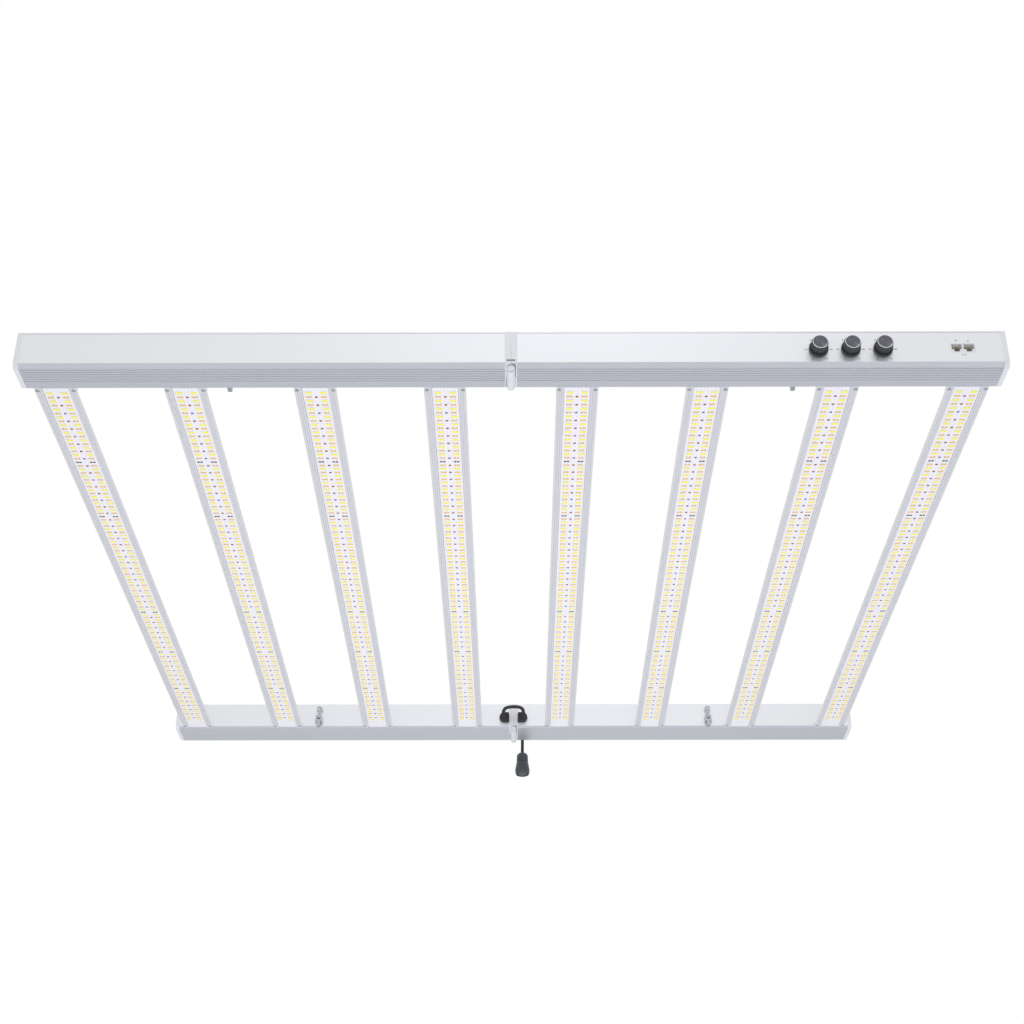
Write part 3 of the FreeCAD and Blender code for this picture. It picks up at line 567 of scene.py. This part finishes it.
BARS = range(1, 9)
TRACK_PITCH = 4.2 * MM
TRACK_HEIGHT = 0.03 * MM
boxes = [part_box(f"bar_{number}") for number in BARS]
CENTRES = [(low.x + high.x) / 2 for low, high in boxes]
FIRST_RIGHT = len(CENTRES) // 2
BAR_FIRST = CENTRES[FIRST_RIGHT]
BAR_PITCH = CENTRES[FIRST_RIGHT + 1] - BAR_FIRST
BOARD_MASK = board_mask()
PACKAGE = phosphor("package_white", (244, 243, 238), (236, 235, 230), 0.4)
LED_COLOURS = {
    "warm": phosphor("phosphor_lemon", (255, 248, 92), (253, 240, 70)),
    "amber": phosphor("phosphor_amber", (248, 188, 40), (240, 172, 30)),
    "red": phosphor("die_red", (146, 8, 32), (110, 4, 24)),
    "blue": phosphor("die_blue", (44, 96, 196), (34, 74, 170)),
    "violet": phosphor("die_violet", (158, 70, 150), (128, 52, 128)),
    "dark": phosphor("die_far_red", (58, 56, 66), (40, 38, 46)),
}
print("materials", len(bpy.data.materials))

# %% [markdown]
# ## LED boards
# Each board carries several hundred square packages in a fixed rhythm: a row of lemon
# phosphor pairs, then a row of amber pairs with one red, blue or violet die in the middle,
# and now and then a row of four dark far-red dies. They could be instances, but one plain mesh
# per board exports cleanly. One package is four square rings of points: the foot, the outer
# rim, the inner rim and the phosphor, which lies a little back inside. It is copied to every
# place at once. The outer wall and the rim are white, and the rest has the LED's colour.

# %% LED packages
PACKAGE_HALF = {"warm": (1.95 * MM, 2.5 * MM)}
OTHER_HALF = (1.7 * MM, 1.6 * MM)
PACKAGE_HIGH = 0.62 * MM
RING_SHARE = np.array([1.0, 0.97, 0.88, 0.85])
RING_DROP = np.array([0.0, 1.0, 1.0, 0.85])
RINGS = len(RING_SHARE)
CORNERS = np.array([[-1, -1], [1, -1], [1, 1], [-1, 1]], float)
ROW_PITCH = 8.41 * MM
FIRST_ROW = 55.0 * MM
LAST_ROW = 1016.0 * MM
COLUMNS = np.array([-10.5, -6.7, 6.7, 10.5]) * MM
FAR_RED_FIRST = 207.7 * MM
FAR_RED_PITCH = 136.5 * MM
FAR_RED_ROWS = 6
MIDDLE_ORDER = ["red", "red", "blue", "red", "red", "violet"]
KINDS = list(LED_COLOURS)


def package_rings():
    """Square rings of half width one, from the foot to the phosphor, with their true drop."""
    rings = np.zeros((RINGS, len(CORNERS), 3))
    rings[:, :, :2] = CORNERS[None] * RING_SHARE[:, None, None]
    rings[:, :, 2] = -RING_DROP[:, None] * PACKAGE_HIGH
    return rings.reshape(-1, 3)


def led_rows():
    """Places across and along a board, and the kind of each LED."""
    count = int(round((LAST_ROW - FIRST_ROW) / ROW_PITCH)) + 1
    along = FRONT + FIRST_ROW + np.arange(count) * (LAST_ROW - FIRST_ROW) / (count - 1)
    phase = (along - FRONT - FAR_RED_FIRST) / FAR_RED_PITCH
    far_red = np.abs(phase - np.round(phase)) * FAR_RED_PITCH < ROW_PITCH / 2
    far_red &= (phase > -0.5) & (phase < FAR_RED_ROWS - 0.5)
    places, kinds = [], []
    amber_row = 0
    for row, (y, special) in enumerate(zip(along, far_red)):
        kind = "dark" if special else ("warm" if row % 2 == 0 else "amber")
        places += [(x, y) for x in COLUMNS]
        kinds += [KINDS.index(kind)] * len(COLUMNS)
        if kind == "amber":
            places.append((0.0, y))
            kinds.append(KINDS.index(MIDDLE_ORDER[amber_row % len(MIDDLE_ORDER)]))
            amber_row += 1
    return np.array(places), np.array(kinds)


def led_field(number):
    """All packages of one board, as one mesh: every ring point plus every place."""
    low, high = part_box(f"led_board_{number}")
    places, kinds = led_rows()
    base = np.zeros((len(places), 1, 3))
    base[:, 0, 0] = (low.x + high.x) / 2 + places[:, 0]
    base[:, 0, 1] = places[:, 1]
    base[:, 0, 2] = low.z
    sizes = np.array([PACKAGE_HALF.get(kind, OTHER_HALF) for kind in KINDS])
    scale = np.ones((len(places), 1, 3))
    scale[:, 0, :2] = sizes[kinds]
    points = base + package_rings()[None] * scale
    walls = grid_faces(RINGS, len(CORNERS), True)[:, ::-1]
    lid = (RINGS - 1) * len(CORNERS) + np.array([[0, 3, 2, 1]])
    template = np.concatenate([walls, lid])
    faces = template[None] + (np.arange(len(places)) * RINGS * len(CORNERS))[:, None, None]
    picks = np.zeros((len(places), len(template)), int)
    picks[:, 2 * len(CORNERS):] = (kinds + 1)[:, None]
    piece = mesh_piece(f"led_packages_{number}", points, faces.reshape(-1, 4),
                       [PACKAGE, *LED_COLOURS.values()], picks.ravel(), smooth=False)
    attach(piece, "left_frame" if number <= FIRST_RIGHT else "right_frame")
    return len(places)


totals = [led_field(number) for number in BARS]
print("LED packages", sum(totals))

# %% [markdown]
# ## Knobs
# A knob is a knurled grip with a spun aluminium face and a bright turned rim. Spinning leaves
# fine circles, and those circles are why the reflection opens into an hourglass. Painting that
# hourglass would be false from other sides, so the face is a turned surface with its own UV map,
# and the shader's anisotropy does the rest.


# %% Turned pieces
def turned_piece(name, profile, centre, axis_y, sides, material):
    """A profile of (radius, distance along +Y) carried round a centre. U runs round the axis
    and V along the profile."""
    profile = np.asarray(profile, float)
    angle = np.linspace(0, 2 * np.pi, sides, endpoint=False)
    points = np.zeros((len(profile), sides, 3))
    points[:, :, 0] = centre[0] + profile[:, :1] * np.cos(angle)[None]
    points[:, :, 1] = axis_y + profile[:, 1:2]
    points[:, :, 2] = centre[1] + profile[:, :1] * np.sin(angle)[None]
    faces = grid_faces(len(profile), sides, True)
    piece = mesh_piece(name, points, faces, [material])
    corner = np.zeros(len(piece.data.loops), np.int32)
    piece.data.loops.foreach_get("vertex_index", corner)
    u = ((corner % sides) / sides).reshape(-1, 4)
    on_seam = np.ptp(u, axis=1)[:, None] > 0.5
    u += on_seam & (u < 0.5)
    v = (corner // sides) / (len(profile) - 1)
    layer = piece.data.uv_layers.new(name="turned")
    layer.data.foreach_set("uv", np.stack([u.ravel(), v], axis=1).ravel())
    return piece


# %% [markdown]
# The spun face is mirror-like across its circles and rough along the radius, so each highlight
# is drawn out towards the centre and the rim.


# %% Spun face
def spun_face():
    """Spun aluminium: circles on the UV map, and anisotropy that follows them."""
    material, tree, shader = new_material("knob_spun_face", 1.0, 0.3)
    place = tree.nodes.new("ShaderNodeUVMap")
    place.uv_map = "turned"
    squeeze = tree.nodes.new("ShaderNodeMapping")
    squeeze.inputs["Scale"].default_value = CIRCLE_SQUEEZE
    tree.links.new(place.outputs["UV"], squeeze.inputs["Vector"])
    circles = tree.nodes.new("ShaderNodeTexNoise")
    circles.inputs["Scale"].default_value = 1.0
    tree.links.new(squeeze.outputs[0], circles.inputs["Vector"])
    colour = blend_colours(tree, circles.outputs["Fac"], srgb(74, 75, 80), srgb(132, 133, 139))
    tree.links.new(colour, shader.inputs["Base Color"])
    add_bump(tree, shader, circles.outputs["Fac"], 0.02 * MM)
    shader.inputs["Anisotropic"].default_value = 0.9
    shader.inputs["Anisotropic Rotation"].default_value = QUARTER_TURN
    tangent = tree.nodes.new("ShaderNodeTangent")
    tangent.direction_type = "UV_MAP"
    tangent.uv_map = "turned"
    tree.links.new(tangent.outputs[0], shader.inputs["Tangent"])
    return material


CIRCLE_SQUEEZE = (3.0, 160.0, 1.0)
QUARTER_TURN = 0.25
SPUN_FACE = spun_face()
print("made", SPUN_FACE.name)

# %% [markdown]
# The face is dished a third of a millimetre, as a spun disc is, and the bright rim stands a
# little proud round it. The rim's profile is a flat land with a rounded outer corner.

# %% Faces and rims in place
KNOBS = (1, 2, 3)
RIM_WIDE = 0.75 * MM
DISH_DEEP = 0.35 * MM
FACE_SUNK = 0.12 * MM
FACE_RINGS = 26
FACE_SIDES = 72
RIM_SIDES = 96


def rim_outline(inner, outer):
    """The rim's (radius, depth) points, from the face over the land to the knob's side."""
    return [(inner, 0.4 * MM), (inner, 0.06 * MM), (inner + 0.12 * MM, 0.0), (outer - 0.42 * MM, 0.0),
            (outer - 0.08 * MM, 0.3 * MM), (outer, 0.55 * MM), (outer, 1.6 * MM),
            (outer - 1.0 * MM, 1.6 * MM)]


for number in KNOBS:
    low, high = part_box(f"knob_cap_{number}")
    centre = ((low.x + high.x) / 2, (low.z + high.z) / 2)
    radius = (high.x - low.x) / 2
    face_radius = radius - RIM_WIDE
    dish = [(face_radius * t, DISH_DEEP * (1 - t ** 2)) for t in np.linspace(0.02, 1.0, FACE_RINGS)]
    face = turned_piece(f"knob_face_{number}", dish, centre, low.y + FACE_SUNK, FACE_SIDES, SPUN_FACE)
    rim = turned_piece(f"knob_rim_{number}", rim_outline(face_radius, radius), centre, low.y,
                       RIM_SIDES, RIM_METAL)
    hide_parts(f"knob_cap_{number}")
    for piece in (face, rim):
        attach(piece, f"knob_{number}")

# %% [markdown]
# ## Dial scales
# Thin printed figures and ticks surround each knob. Ink could be a mask in the rail's
# material, but small figures need crisp edges, so each mark is a flat mesh that lies
# five hundredths of a millimetre proud of the rail. The figures are a plain 0 to 100 scale.


# %% Ink and figures
def ink_material():
    """Matt screen-printed ink, a dark grey that thins out in patches."""
    material, tree, shader = new_material("printed_ink", 0.0, 0.5)
    grain = place_group(tree, MOULD_GRAIN, Grain_Scale=3000.0)
    tree.links.new(blend_colours(tree, grain.outputs["Dust"], srgb(52, 54, 60), srgb(84, 86, 92)),
                   shader.inputs["Base Color"])
    return material


INK = ink_material()
INK_Y = FRONT - 0.05 * MM
FONT_SIZE = 2.94 * MM


def figure_mesh(text, x, z):
    """Flat outlines of a figure, centred on (x, z) on the rail's front face."""
    data = bpy.data.curves.new("figure", "FONT")
    data.body = text
    data.size = FONT_SIZE
    data.align_x = "CENTER"
    data.align_y = "CENTER"
    holder = bpy.data.objects.new("figure", data)
    scene.collection.objects.link(holder)
    mesh = bpy.data.meshes.new_from_object(holder)
    flat = np.zeros(len(mesh.vertices) * 3)
    mesh.vertices.foreach_get("co", flat)
    flat = flat.reshape(-1, 3)
    points = np.column_stack([flat[:, 0] + x, np.full(len(flat), INK_Y), flat[:, 1] + z])
    faces = [list(polygon.vertices) for polygon in mesh.polygons]
    bpy.data.objects.remove(holder)
    return points, faces


def join_marks(name, marks, body):
    """Joins flat marks into one inked piece."""
    points = np.concatenate([places for places, _ in marks])
    starts = np.cumsum([0] + [len(places) for places, _ in marks])
    faces = [[vertex + start for vertex in face]
             for (_, outlines), start in zip(marks, starts) for face in outlines]
    mesh = bpy.data.meshes.new(name)
    mesh.from_pydata(points, [], faces)
    mesh.materials.append(INK)
    piece = bpy.data.objects.new(name, mesh)
    scene.collection.objects.link(piece)
    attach(piece, body)
    return piece


# %% [markdown]
# A dial turns through 300 degrees. It has eleven ticks and a figure at every second one, with
# nothing at the lower left and full light at the lower right.

# %% Dial scales
TICK_RADII = (11.8 * MM, 12.8 * MM)
TICK_HALF = 0.15 * MM
TICKS = 11
FIGURE_RADIUS = 14.7 * MM
SWEEP = math.radians(150)
FULL = 100
FIGURE_STEP = 20


def tick(x, z, angle):
    """A short radial bar of four corners, facing -Y."""
    out = np.array([math.sin(angle), math.cos(angle)])
    side = np.array([out[1], -out[0]]) * TICK_HALF
    inner, outer = (out * radius for radius in TICK_RADII)
    ends = [inner - side, inner + side, outer + side, outer - side]
    points = np.array([[x + end[0], INK_Y, z + end[1]] for end in ends])
    return points, [[0, 1, 2, 3]]


def dial_scale(number):
    """Ticks and figures round one knob."""
    low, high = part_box(f"knob_cap_{number}")
    x, z = (low.x + high.x) / 2, (low.z + high.z) / 2
    marks = [tick(x, z, angle) for angle in np.linspace(-SWEEP, SWEEP, TICKS)]
    for value in range(0, FULL + 1, FIGURE_STEP):
        angle = -SWEEP + 2 * SWEEP * value / FULL
        marks.append(figure_mesh(str(value), x + FIGURE_RADIUS * math.sin(angle),
                                 z + FIGURE_RADIUS * math.cos(angle)))
    return join_marks(f"dial_scale_{number}", marks, "right_frame")


scales = [dial_scale(number).name for number in KNOBS]
print("printed", scales)

# %% [markdown]
# The two sockets pass a 0 to 10 volt dimming signal in and on. Plain arrows stand for in and
# out.

# %% Port marks
PORT_STEP = 6.9 * MM
ARROW_HALF = 1.2 * MM
ARROW_HIGH = 1.8 * MM


def arrow(x, z, sign):
    """A small triangle that points up or down."""
    points = np.array([[x - ARROW_HALF, INK_Y, z], [x + ARROW_HALF, INK_Y, z],
                       [x, INK_Y, z + sign * ARROW_HIGH]])
    return points, [[0, 1, 2] if sign > 0 else [0, 2, 1]]


port_low, port_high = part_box("data_ports")
port_middle = (port_low.x + port_high.x) / 2
marks = [arrow(port_middle - PORT_STEP, port_high.z + 4.2 * MM, -1),
         arrow(port_middle + PORT_STEP, port_high.z + 2.4 * MM, 1),
         figure_mesh("0-10", port_middle, port_low.z - 3.4 * MM)]
join_marks("port_marks", marks, "right_frame")
print("port marks above", round(port_high.z, 4))

# %% [markdown]
# ## Data ports
# Two modular sockets sit in one light grey block. Each has eight sprung gold wires that slope
# down from the roof. They are flat strips, worked out for both sockets at once.

# %% Socket contacts
def gold_material():
    """Thin gold plate on spring wire, with fine lines along it."""
    material, tree, shader = new_material("contact_gold", 1.0, 0.22)
    drawn = place_group(tree, DRAWN_LINES, Squeeze=(2000.0, 60.0, 2000.0))
    tree.links.new(blend_colours(tree, drawn.outputs["Lines"], srgb(206, 178, 118), srgb(232, 208, 156)),
                   shader.inputs["Base Color"])
    return material


GOLD = gold_material()


def strips(centres, path, half):
    """Flat strips of one width along a (y, z) path, one per centre x."""
    path = np.asarray(path)
    points = np.zeros((len(centres), len(path), 2, 3))
    points[..., 0] = np.asarray(centres)[:, None, None] + np.array([-half, half])[None, None]
    points[..., 1:] = path[None, :, None]
    quads = grid_faces(len(path), 2, False)
    faces = quads[None] + (np.arange(len(centres)) * len(path) * 2)[:, None, None]
    return points.reshape(-1, 3), faces.reshape(-1, 4)


WIRES = 8
WIRE_PITCH = 1.02 * MM
WIRE_HALF = 0.22 * MM
WIRE_THICK = 0.2 * MM
ROOF_THICK = 1.4 * MM
WIRE_PATH = np.array([(6.0, 0.0), (7.0, -0.6), (12.0, -4.0), (13.5, -4.2)]) * MM
contact_path = WIRE_PATH + [port_low.y, port_high.z - ROOF_THICK]
across = (np.arange(WIRES) - (WIRES - 1) / 2) * WIRE_PITCH
contact_x = np.concatenate([port_middle + side * PORT_STEP + across for side in (-1, 1)])
contacts = mesh_piece("port_contacts", *strips(contact_x, contact_path, WIRE_HALF), [GOLD])
thicken = contacts.modifiers.new("thickness", "SOLIDIFY")
thicken.thickness = WIRE_THICK
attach(contacts, "right_frame")
print("contacts", len(contact_x))

# %% [markdown]
# ## Jumper boots
# The lead ends in two moulded rubber boots, flat towards the hinge and round outside. A boot is
# one outline carried outwards: near the rail it has a small foot, then straight walls, then the
# outline shrinks quickly through a quarter circle, which rounds the rim, and closes in a cap.

# %% Boots
ARC_POINTS = 48
CORNER = 1.6 * MM
CORNER_POINTS = 8
RIM_ROUND = 2.2 * MM
RIM_POINTS = 10
FOOT_HIGH = 1.6 * MM
FOOT_STEP = 0.5 * MM
WALL_START = 4.0 * MM
CAP_SHARE = 0.4
CAP_CENTRE = 1e-3


def boot_outline(low, high, mirrored):
    """The D: half a circle on the outer side and a flat side with small round corners,
    walked anticlockwise as seen from the lead's side."""
    radius = (high.z - low.z) / 2
    middle = (high.z + low.z) / 2
    flat = high.x if mirrored else low.x
    sign = -1.0 if mirrored else 1.0
    centre = low.x + radius if mirrored else high.x - radius
    arc = np.linspace(-np.pi / 2, np.pi / 2, ARC_POINTS)
    outer = np.stack([centre + sign * radius * np.cos(arc), middle + radius * np.sin(arc)], axis=1)
    turn = np.linspace(0, np.pi / 2, CORNER_POINTS)
    top = np.stack([flat + sign * CORNER * (1 - np.sin(turn)), high.z - CORNER * (1 - np.cos(turn))], axis=1)
    bottom = top[::-1] * [1, -1] + [0, 2 * middle]
    return np.concatenate([outer, top, bottom]), np.array([(centre + flat) / 2, middle])


def boot(side):
    """One boot: the outline is shrunk by a share of its reach at each distance out."""
    low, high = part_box(f"jumper_boot_{side}")
    outline, middle = boot_outline(low, high, side == "left")
    quarter = np.linspace(0, np.pi / 2, RIM_POINTS)
    depth = high.y - low.y
    shrink = np.concatenate([[0.0, 0.0, FOOT_STEP, FOOT_STEP],
                             FOOT_STEP + RIM_ROUND * (1 - np.cos(quarter))])
    out = np.concatenate([[0.0, FOOT_HIGH, FOOT_HIGH, WALL_START],
                          depth - RIM_ROUND + RIM_ROUND * np.sin(quarter)])
    reach = np.linalg.norm(outline - middle, axis=1)
    share = 1 - shrink[:, None] / reach[None]
    cap = np.repeat(CAP_SHARE * share[-1:], 2, axis=0)
    share = np.concatenate([share, cap, np.full((1, len(outline)), CAP_CENTRE)])
    out = np.concatenate([out, [depth, depth, depth]])
    grid = np.zeros((len(out), len(outline), 3))
    flat = middle + (outline - middle)[None] * share[..., None]
    grid[..., 0], grid[..., 2] = flat[..., 0], flat[..., 1]
    grid[..., 1] = high.y - out[:, None]
    faces = grid_faces(len(out), len(outline), True)
    piece = mesh_piece(f"boot_{side}", grid, faces if side == "left" else faces[:, ::-1], [RUBBER])
    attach(piece, f"{side}_frame")
    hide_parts(f"jumper_boot_{side}")
    return piece


print("boots", [boot(side).name for side in ("left", "right")])

# %% [markdown]
# A stepped collar grips the lead where it enters the boot.

# %% Collars
COLLAR_STEPS = [(2.7, -5.0), (3.4, -4.6), (3.4, -3.6), (3.9, -3.0), (3.9, -1.8), (4.4, -1.2), (4.4, 0.4)]
COLLAR_SIDES = 40
collar_outline = np.array(COLLAR_STEPS) * MM
for side, end in (("left", JUMPER_ROUTE[0]), ("right", JUMPER_ROUTE[-1])):
    collar = turned_piece(f"boot_collar_{side}", collar_outline, (end[0], end[2]), end[1],
                          COLLAR_SIDES, RUBBER)
    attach(collar, f"{side}_frame")
print("collars at", JUMPER_ROUTE[0], JUMPER_ROUTE[-1])

# %% [markdown]
# ## Connector contacts
# Three brass sleeves line the connector's holes. They are plain turned pieces about Z.

# %% Sleeves
insert_low, insert_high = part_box("connector_insert")
insert_x = (insert_low.x + insert_high.x) / 2
insert_y = (insert_low.y + insert_high.y) / 2
SLEEVES = 3
SLEEVE_CIRCLE = 3.6 * MM
SLEEVE_SIDES = 20
SLEEVE_OUTLINE = np.array([(1.25, 8.0), (1.25, 0.4), (0.85, 0.4), (0.85, 8.0)]) * MM
SLEEVE_GRID = (len(SLEEVE_OUTLINE), SLEEVE_SIDES)


def sleeve_points(angle):
    """A thin-walled tube: down the outer wall, across the mouth and up the inner wall."""
    x = insert_x + SLEEVE_CIRCLE * math.cos(angle)
    y = insert_y + SLEEVE_CIRCLE * math.sin(angle)
    turn = np.linspace(0, 2 * np.pi, SLEEVE_SIDES, endpoint=False)
    points = np.zeros((*SLEEVE_GRID, 3))
    points[..., 0] = x + SLEEVE_OUTLINE[:, :1] * np.cos(turn)
    points[..., 1] = y + SLEEVE_OUTLINE[:, :1] * np.sin(turn)
    points[..., 2] = insert_low.z + SLEEVE_OUTLINE[:, 1:]
    return points.reshape(-1, 3)


sleeve_angles = [2 * math.pi * i / SLEEVES + math.pi / 2 for i in range(SLEEVES)]
one_sleeve = grid_faces(*SLEEVE_GRID, True)[:, ::-1]
sleeve_faces = np.concatenate([one_sleeve + i * math.prod(SLEEVE_GRID) for i in range(SLEEVES)])
sleeves = mesh_piece("contact_sleeves", np.concatenate([sleeve_points(angle) for angle in sleeve_angles]),
                     sleeve_faces, [GOLD])
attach(sleeves, "right_frame")
print("sleeves at", round(insert_x, 4), round(insert_y, 4))

# %% [markdown]
# ## Dressing the frame
# The exact solids keep their shape and only change their finish. Each record slot has one
# material, so a loop over the nodes dresses them all.

# %% Materials of the carried-over solids
SLOT_FINISH = {
    "anodised_rail": RAIL_METAL,
    "bar_anodised": BAR_METAL,
    "cap_paint": CAP_METAL,
    "led_board": BOARD_MASK,
    "pin_steel": PIN_METAL,
    "hook_steel": HOOK_METAL,
    "zinc": ZINC_METAL,
    "potting": POTTING,
    "circuit_board": BOARD_GREEN,
    "port_plastic": PORT_PLASTIC,
    "knob_black": KNOB_PLASTIC,
    "knob_metal": GRIP_METAL,
    "black_rubber": RUBBER,
    "black_plastic": NYLON,
}
for entry in frame["record"]["subparts"]:
    node = frame["nodes"][entry["node"]]
    node.data.materials.clear()
    node.data.materials.append(SLOT_FINISH[entry["material_slot"]])
for lead in (mains, jumper, relief):
    lead.data.materials.append(RUBBER)
print("dressed", len(frame["nodes"]), "nodes")

# %% [markdown]
# ## Floor
# The lamp hangs well above a plain pale floor, which its satin undersides mirror.

# %% Floor
FLOOR_DROP = 1.75
FLOOR_HALF = 2.2
FLOOR_FORWARD = 0.4
floor_z = UNDERSIDE - FLOOR_DROP
flat_corners = CORNERS * FLOOR_HALF - [0.0, FLOOR_FORWARD]
corners = np.column_stack([flat_corners, np.full(len(CORNERS), floor_z)])
floor_material, floor_tree, floor_shader = new_material("pale_floor", 0.0, 0.8)
floor_grain = place_group(floor_tree, MOULD_GRAIN, Grain_Scale=60.0, Dust_Scale=3.0)
floor_tone = blend_colours(floor_tree, floor_grain.outputs["Dust"], srgb(196, 199, 207), srgb(204, 207, 215))
floor_tree.links.new(floor_tone, floor_shader.inputs["Base Color"])
floor = mesh_piece("floor", corners, [[0, 1, 2, 3]], [floor_material], smooth=False)
print("floor at", round(floor_z, 3))

# %% [markdown]
# ## Light
# The room is a plain white glow that is darker low down at the back, where satin undersides
# that are seen from the front look, and a little darker to both sides. A small soft key above
# the camera brightens the middle of the front faces. A broad lamp near the floor keeps the
# boards nearly white. Mirroring surfaces don't show that lamp, or it would wash them out.

# %% Light
GLOW = 0.96
LOW_BACK = (0.0, 0.85, -0.53)
LOW_BACK_RANGE = (0.35, 0.95)
LOW_BACK_TONE = (0.5472, 0.5586, 0.5871, 1)
SIDE_FALL = 0.17
SIDE_RANGE = (0.02, 0.38)


def glow_world():
    """White behind the camera's view. For lighting, a glow that falls off low at the back
    and slightly towards both sides."""
    world = bpy.data.worlds.new("studio")
    world.use_nodes = True
    tree = world.node_tree
    tree.nodes.clear()
    out = tree.nodes.new("ShaderNodeOutputWorld")
    seen = tree.nodes.new("ShaderNodeBackground")
    seen.inputs["Color"].default_value = (1, 1, 1, 1)
    lit = tree.nodes.new("ShaderNodeBackground")
    place = tree.nodes.new("ShaderNodeTexCoord")
    lean = tree.nodes.new("ShaderNodeVectorMath")
    lean.operation = "DOT_PRODUCT"
    lean.inputs[1].default_value = LOW_BACK
    tree.links.new(place.outputs["Generated"], lean.inputs[0])
    fall = tree.nodes.new("ShaderNodeMapRange")
    fall.interpolation_type = "SMOOTHSTEP"
    fall.inputs["From Min"].default_value, fall.inputs["From Max"].default_value = LOW_BACK_RANGE
    tree.links.new(lean.outputs["Value"], fall.inputs["Value"])
    sky = blend_colours(tree, fall.outputs["Result"], (1, 1, 1, 1), LOW_BACK_TONE)
    tree.links.new(sky, lit.inputs["Color"])
    split = tree.nodes.new("ShaderNodeSeparateXYZ")
    tree.links.new(place.outputs["Generated"], split.inputs[0])
    side = tree.nodes.new("ShaderNodeMapRange")
    side.interpolation_type = "SMOOTHSTEP"
    side.inputs["From Min"].default_value, side.inputs["From Max"].default_value = SIDE_RANGE
    side.inputs["To Min"].default_value = GLOW
    side.inputs["To Max"].default_value = GLOW - SIDE_FALL
    tree.links.new(math_node(tree, "ABSOLUTE", split.outputs["X"]), side.inputs["Value"])
    tree.links.new(side.outputs["Result"], lit.inputs["Strength"])
    ray = tree.nodes.new("ShaderNodeLightPath")
    mix = tree.nodes.new("ShaderNodeMixShader")
    tree.links.new(ray.outputs["Is Camera Ray"], mix.inputs[0])
    tree.links.new(lit.outputs[0], mix.inputs[1])
    tree.links.new(seen.outputs[0], mix.inputs[2])
    tree.links.new(mix.outputs[0], out.inputs[0])
    return world


def soft_light(name, place, target, size, power):
    """A rectangular lamp of the given two sides in metres, aimed at a point."""
    data = bpy.data.lights.new(name, "AREA")
    data.shape = "RECTANGLE"
    data.size, data.size_y = size
    data.energy = power
    lamp = bpy.data.objects.new(name, data)
    lamp.location = place
    lamp.rotation_euler = (Vector(target) - Vector(place)).to_track_quat("-Z", "Y").to_euler()
    lamp.visible_camera = False
    scene.collection.objects.link(lamp)
    return lamp


scene.world = glow_world()
KEY_PLACE = (0.2, -2.2, 2.4)
KEY_TARGET = (0.1, -0.5, 0.0)
BOUNCE_PLACE = (0.0, 0.0, floor_z + 0.25)
soft_light("key", KEY_PLACE, KEY_TARGET, size=(0.5, 0.35), power=5.0)
bounce = soft_light("bounce", BOUNCE_PLACE, (0.0, 0.0, 0.0), size=(2.4, 1.9), power=19.0)
bounce.visible_glossy = False
scene.view_settings.view_transform = "Standard"
